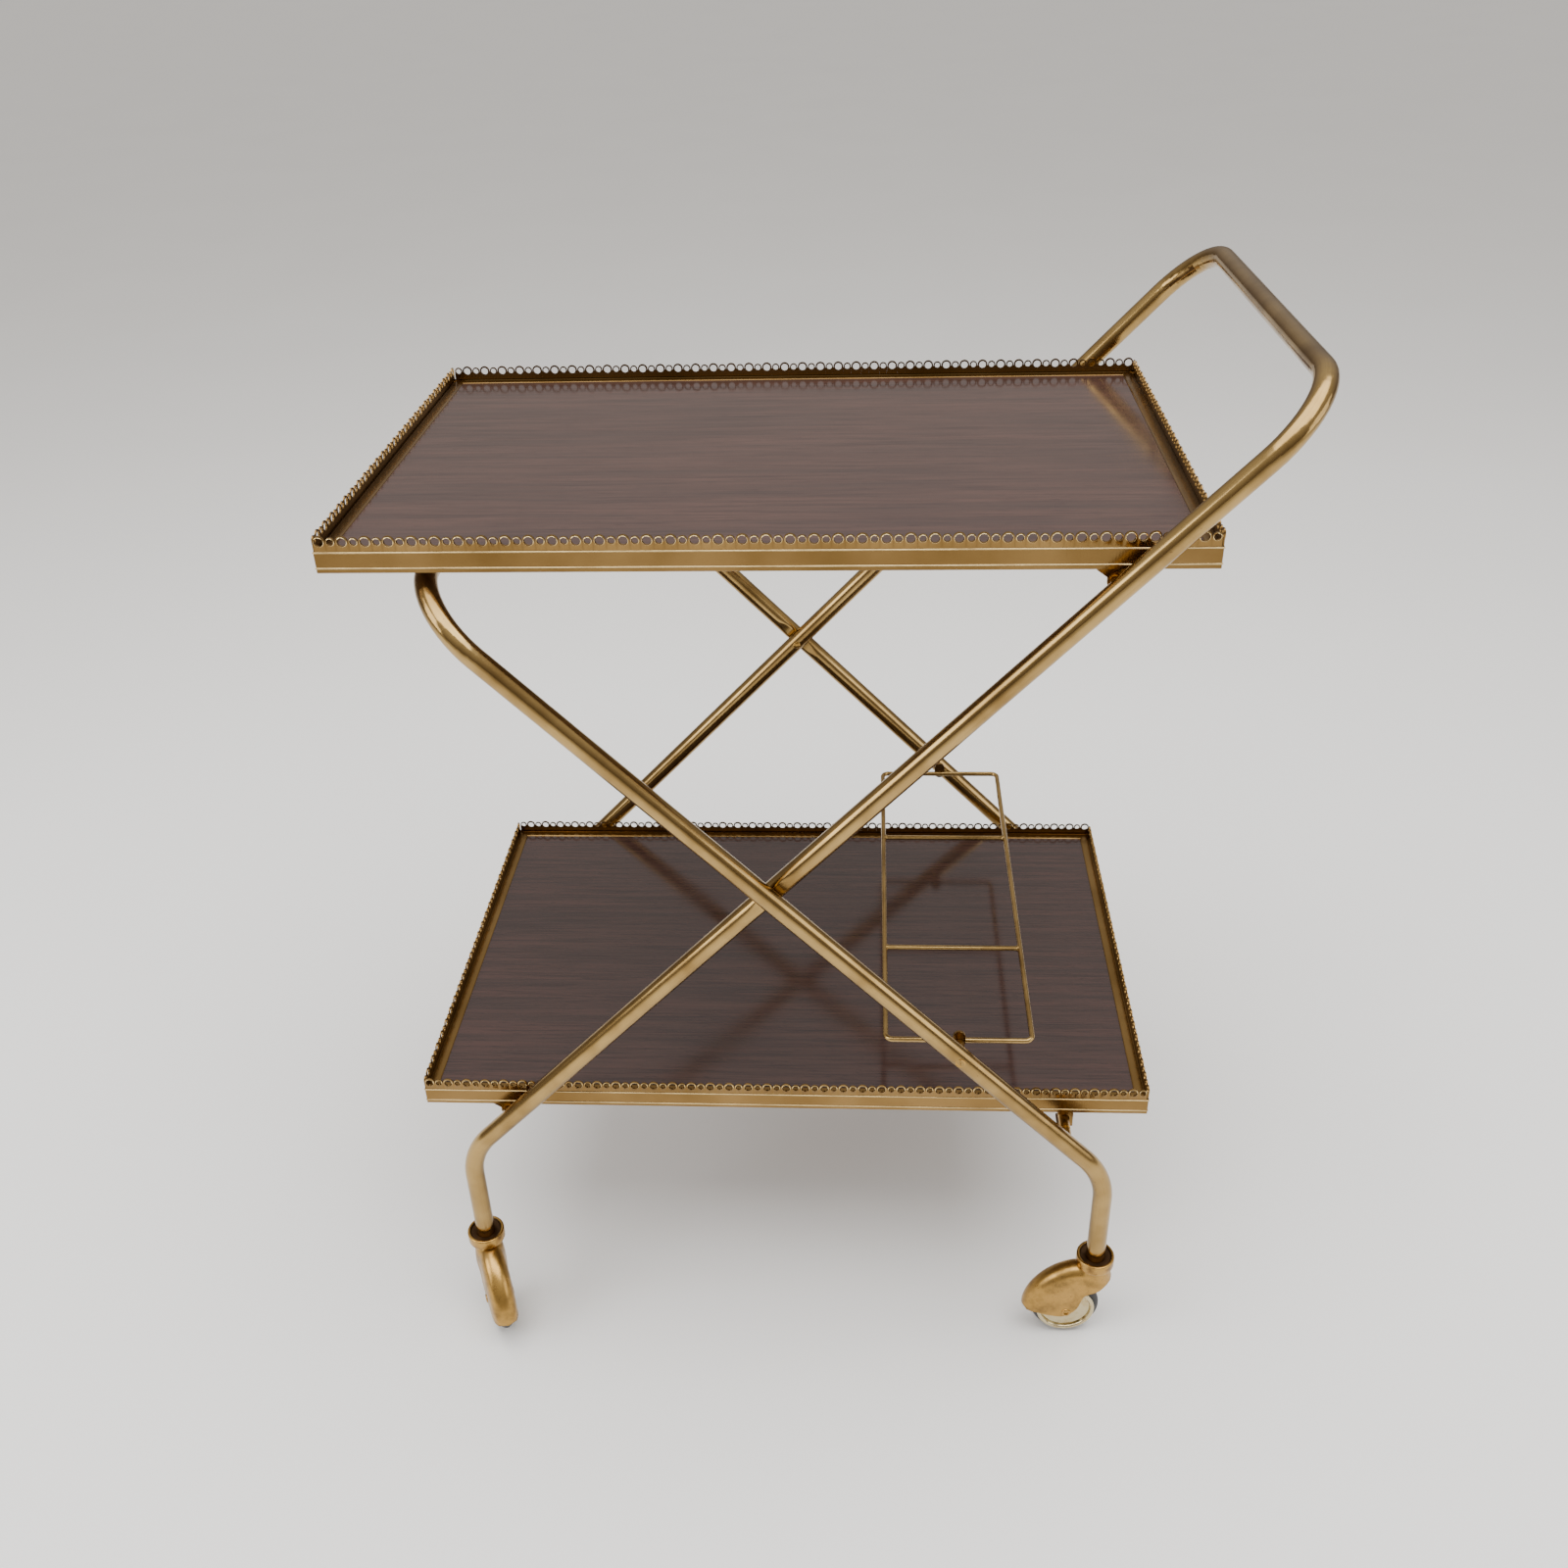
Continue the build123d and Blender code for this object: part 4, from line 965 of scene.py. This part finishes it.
class TROLLEY_OT_rivets(bpy.types.Operator):
    """Turns the rivets and studs of the frame"""
    bl_idname = "trolley.rivets"
    bl_label = "Rivets and studs"

    def execute(self, context):
        tube = context.scene.trolley_sizes.tube_r
        inner = abs(JOINTS["front_left_swivel"]["pos_m"][1])
        outer = abs(JOINTS["front_right_swivel"]["pos_m"][1])
        scissors = Surface()
        studs = Surface()
        pins = {tray: Surface() for tray in TRAYS}
        pivot = JOINTS["scissor_fold"]["pos_m"]
        for sign in (-1, 1):
            inward = (0, -sign, 0)
            # heights are measured inwards from the place where each piece meets its tube
            seat = sign * (inner - tube)
            head = [(0, -9 * MM), (PIN_R, -9 * MM), (PIN_R, 0), (3.5 * MM, 0)]
            head += dome(3.5 * MM, 1.3 * MM, 0.1 * MM)
            turned(scissors, (pivot[0], seat, pivot[2]), inward, head, 32)
            for tray in TRAYS:
                x, _, z = JOINTS[f"{tray}_tray_tilt"]["pos_m"]
                ear = abs(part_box(f"{tray}_hinge_ears")[0][1])
                gap = inner - tube - ear
                ball = [(4.25 * MM * math.cos(a), gap / 2 + 4.25 * MM * math.sin(a))
                        for a in np.linspace(-0.98, 0.98, 15)]
                under = gap + EAR_THICK + HEAD_GAP
                pin = [(0, -2 * MM), (PIN_R, -2 * MM), (PIN_R, 0), *ball, (PIN_R, gap)]
                pin += [(PIN_R, under), (4 * MM, under), *dome(4 * MM, 1.4 * MM, under + 0.1 * MM)]
                turned(pins[tray], (x, seat, z), inward, pin, 32)
            low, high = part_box("tray_studs")
            x = (low[0] + high[0]) / 2
            z = (low[2] + high[2]) / 2
            seat = sign * (outer - tube)
            lower_rail = abs(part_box("lower_rail_front")[0][1])
            groove = (outer - tube - lower_rail) / 2
            end = outer - tube - STUD_END
            r = STUD_R
            barrel = [(0, -1.5 * MM), (r, -1.5 * MM), (r, groove - 0.9 * MM)]
            barrel += [(r - 0.7 * MM, groove - 0.6 * MM), (r - 0.7 * MM, groove + 0.6 * MM)]
            barrel += [(r, groove + 0.9 * MM), (r, end - 0.9 * MM)]
            barrel += arc((r - 0.9 * MM, end - 0.9 * MM), 0.9 * MM, 0, 90, 4) + [(0, end)]
            turned(studs, (x, seat, z), inward, barrel, 36)
        scissors.piece("scissor_rivets_turned", "turned_brass", "handle_frame", ["scissor_rivets"])
        studs.piece("tray_studs_turned", "turned_brass", "support_frame", ["tray_studs"])
        for tray in TRAYS:
            pins[tray].piece(f"{tray}_hinge_rivets_turned", "turned_brass", "handle_frame",
                             [f"{tray}_hinge_rivets"])
        return {"FINISHED"}


class TROLLEY_OT_rack(bpy.types.Operator):
    """Bends the bottle rack's wires and turns its rivets"""
    bl_idname = "trolley.rack"
    bl_label = "Bottle rack"

    def execute(self, context):
        sizes = context.scene.trolley_sizes
        r = sizes.wire_r
        low, high = (np.array(corner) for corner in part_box("rack_frame"))
        middle = (low + high) / 2
        half_x, half_y = (high - low)[:2] / 2 - r
        ends = [(0, -half_y), (half_x, -half_y), (half_x, half_y), (-half_x, half_y),
                (-half_x, -half_y), (0, -half_y)]
        corners = [middle + (x, y, 0) for x, y in ends]
        centres = rounded(corners, (sizes.wire_bend,) * 4, 0.006)[:-1]
        along = unit(np.roll(centres, -1, axis=0) - np.roll(centres, 1, axis=0))
        side = np.cross(along, UP)
        wire = circle(r, 24)
        points = (centres[:, None] + wire[None, :, :1] * side[:, None]
                  + wire[None, :, 1:] * UP)
        run = travel(centres)
        around = np.arange(25) * TAU / 24 * r
        Surface().grid(points, u=np.append(run, run[-1] + 0.006), v=around, ring=True, loop=True).piece(
            "rack_frame_wire", "drawn_brass_wire", "bottle_rack", ["rack_frame"])
        cross = Surface()
        reach = abs(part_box("rack_cross_wires")[0][1]) - r
        for sign in (-1, 1):
            start = middle + (-half_x, sign * reach, 0)
            bar = [(0, 0), (r, 0), (r, half_x), (r, 2 * half_x), (0, 2 * half_x)]
            turned(cross, start, (1, 0, 0), bar, 24)
            for end in (-1, 1):
                blob = middle + (end * (half_x - r), sign * reach, 0)
                solder = [(0, -1.4 * MM), *[(r + 0.7 * MM * math.cos(a) ** 2, 1.4 * MM * math.sin(a))
                                            for a in np.linspace(-1.5, 1.5, 7)], (0, 1.4 * MM)]
                turned(cross, blob, (1, 0, 0), solder, 24)
        cross.piece("rack_cross_wires_drawn", "drawn_brass_wire", "bottle_rack",
                    ["rack_cross_wires"])
        rivets = Surface()
        tabs = abs(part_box("rack_tabs")[0][1])
        outer = abs(JOINTS["front_right_swivel"]["pos_m"][1])
        x, _, z = JOINTS["bottle_rack_tilt"]["pos_m"]
        for sign in (-1, 1):
            seat = outer + sizes.tube_r
            ball = [(0, -4 * MM)] + [(4 * MM * math.cos(a), -4 * MM * math.sin(a))
                                     for a in np.linspace(-math.pi / 2, 0, 9)][1:]
            pin = ball + [(2 * MM, 0.4 * MM), (2 * MM, 2 * sizes.tube_r), (4 * MM, 2 * sizes.tube_r)]
            pin += [(4 * MM, seat - tabs - HEAD_GAP), (2 * MM, seat - tabs - HEAD_GAP)]
            pin += [(2 * MM, seat - tabs + 2.2 * MM), (0, seat - tabs + 2.2 * MM)]
            turned(rivets, (x, sign * seat, z), (0, -sign, 0), pin, 32)
        rivets.piece("rack_rivets_turned", "turned_brass", "support_frame", ["rack_rivets"])
        return {"FINISHED"}


class TROLLEY_OT_castors(bpy.types.Operator):
    """Makes the four castors: hood, axle, tyre, disc and cup ring"""
    bl_idname = "trolley.castors"
    bl_label = "Castors"

    def execute(self, context):
        for corner in CORNERS:
            self.castor(corner, "handle_frame" if "left" in corner else "support_frame")
        return {"FINISHED"}

    def castor(self, corner, frame_body):
        """One castor at its own place and trailing its own way."""
        swivel = np.array(JOINTS[f"{corner}_swivel"]["pos_m"])
        spin = JOINTS[f"{corner}_wheel_spin"]
        hub, axis = np.array(spin["pos_m"]), unit(np.array(spin["axis"], float))
        trail = unit((hub - swivel) * (1, 1, 0))
        foot = swivel * (1, 1, 0)

        def place(t, y, z):
            """The point t behind the swivel, y along the axle and z above the floor."""
            return foot + t[..., None] * trail + y[..., None] * axis + z[..., None] * UP

        hood = hood_surface(place).piece(
            f"{corner}_hood_shell", "worn_brass_casting", f"{corner}_castor",
            [f"{corner}_castor_hood"], crease=60, closed=False)
        wall = hood.modifiers.new("wall", "SOLIDIFY")
        wall.thickness = HOOD["wall"]
        wall.offset = -1
        edge = hood.modifiers.new("edge", "BEVEL")
        edge.width = 0.35 * MM
        edge.segments = 2
        edge.limit_method = "ANGLE"
        edge.angle_limit = math.radians(60)
        tyre, disc = wheel_outlines(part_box(f"{corner}_tyre"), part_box(f"{corner}_wheel_disc"))
        turned(Surface(), hub, axis, tyre, 72).piece(
            f"{corner}_tyre_round", "black_rubber", f"{corner}_wheel", [f"{corner}_tyre"])
        turned(Surface(), hub, axis, disc, 64).piece(
            f"{corner}_disc_spun", "spun_disc", f"{corner}_wheel", [f"{corner}_wheel_disc"])
        half = HOOD["half"]
        end = [(2.5 * MM, half), *arc((2.9 * MM, half), 1.1 * MM, 0, 150, 6)]
        end += [(1.9 * MM, half - 0.2 * MM), (1.9 * MM, half - 2.5 * MM), (0, half - 2.5 * MM)]
        axle = [(r, -h) for r, h in reversed(end)] + end
        turned(Surface(), hub, axis, axle, 24).piece(
            f"{corner}_axle_turned", "turned_brass", f"{corner}_castor", [f"{corner}_axle_rivet"])
        low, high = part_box(f"{corner}_cup_ring")
        base, top, r = low[2], high[2], (high[0] - low[0]) / 2
        tube = bpy.context.scene.trolley_sizes.tube_r
        cup = [(3.6 * MM, base), (r - 1.5 * MM, base)]
        cup += arc((r - 1.5 * MM, base + 1.5 * MM), 1.5 * MM, -90, 0, 5)
        cup += arc((r - 1.2 * MM, top - 1.2 * MM), 1.2 * MM, 0, 90, 5)
        cup += [(r - 2.3 * MM, top - 0.2 * MM), (r - 2.9 * MM, top - 0.9 * MM),
                (r - 3.4 * MM, top - 1.6 * MM), (tube + 0.8 * MM, top - 2.1 * MM),
                (tube + 0.02 * MM, top - 2.6 * MM), (tube + 0.02 * MM, base + CUP_FLOOR),
                (3.6 * MM, base + CUP_FLOOR), (3.6 * MM, base)]
        ring = turned(Surface(), foot, UP, cup, 72).piece(
            f"{corner}_cup_turned", "turned_brass", frame_body, [f"{corner}_cup_ring"], crease=30)
        # painted shade: the dish round the tube, inside the cup ring, gets the dark brown finish
        away = face_middles(ring) - foot
        dish = (away[:, 2] > top - 3 * MM) & (np.hypot(away[:, 0], away[:, 1]) < r - 2.4 * MM)
        second_finish(ring, "dish_shade_brass", dish)


class TROLLEY_PT_panel(bpy.types.Panel):
    """Lists the trolley's pieces in the sidebar"""
    bl_idname = "TROLLEY_PT_panel"
    bl_label = "Serving Trolley"
    bl_space_type = "VIEW_3D"
    bl_region_type = "UI"
    bl_category = "Trolley"

    def draw(self, context):
        for operator in OPERATORS:
            self.layout.operator(operator.bl_idname)


OPERATORS = (TROLLEY_OT_stage, TROLLEY_OT_tubes, TROLLEY_OT_rails, TROLLEY_OT_plates,
             TROLLEY_OT_rivets, TROLLEY_OT_rack, TROLLEY_OT_castors)
CLASSES = (TrolleySizes, TrolleyColours, TrolleyStage, *OPERATORS, TROLLEY_PT_panel)


def register():
    """Registers the classes and hangs the settings on the scene."""
    for each in CLASSES:
        bpy.utils.register_class(each)
    bpy.types.Scene.trolley_sizes = PointerProperty(type=TrolleySizes)
    bpy.types.Scene.trolley_colours = PointerProperty(type=TrolleyColours)
    bpy.types.Scene.trolley_stage = PointerProperty(type=TrolleyStage)


def unregister():
    """Takes the settings and the classes away again."""
    for name in ("trolley_sizes", "trolley_colours", "trolley_stage"):
        delattr(bpy.types.Scene, name)
    for each in reversed(CLASSES):
        bpy.utils.unregister_class(each)


def main():
    """Makes every piece in order."""
    register()
    for operator in OPERATORS:
        group, name = operator.bl_idname.split(".")
        getattr(getattr(bpy.ops, group), name)()


if __name__ == "__main__":
    main()
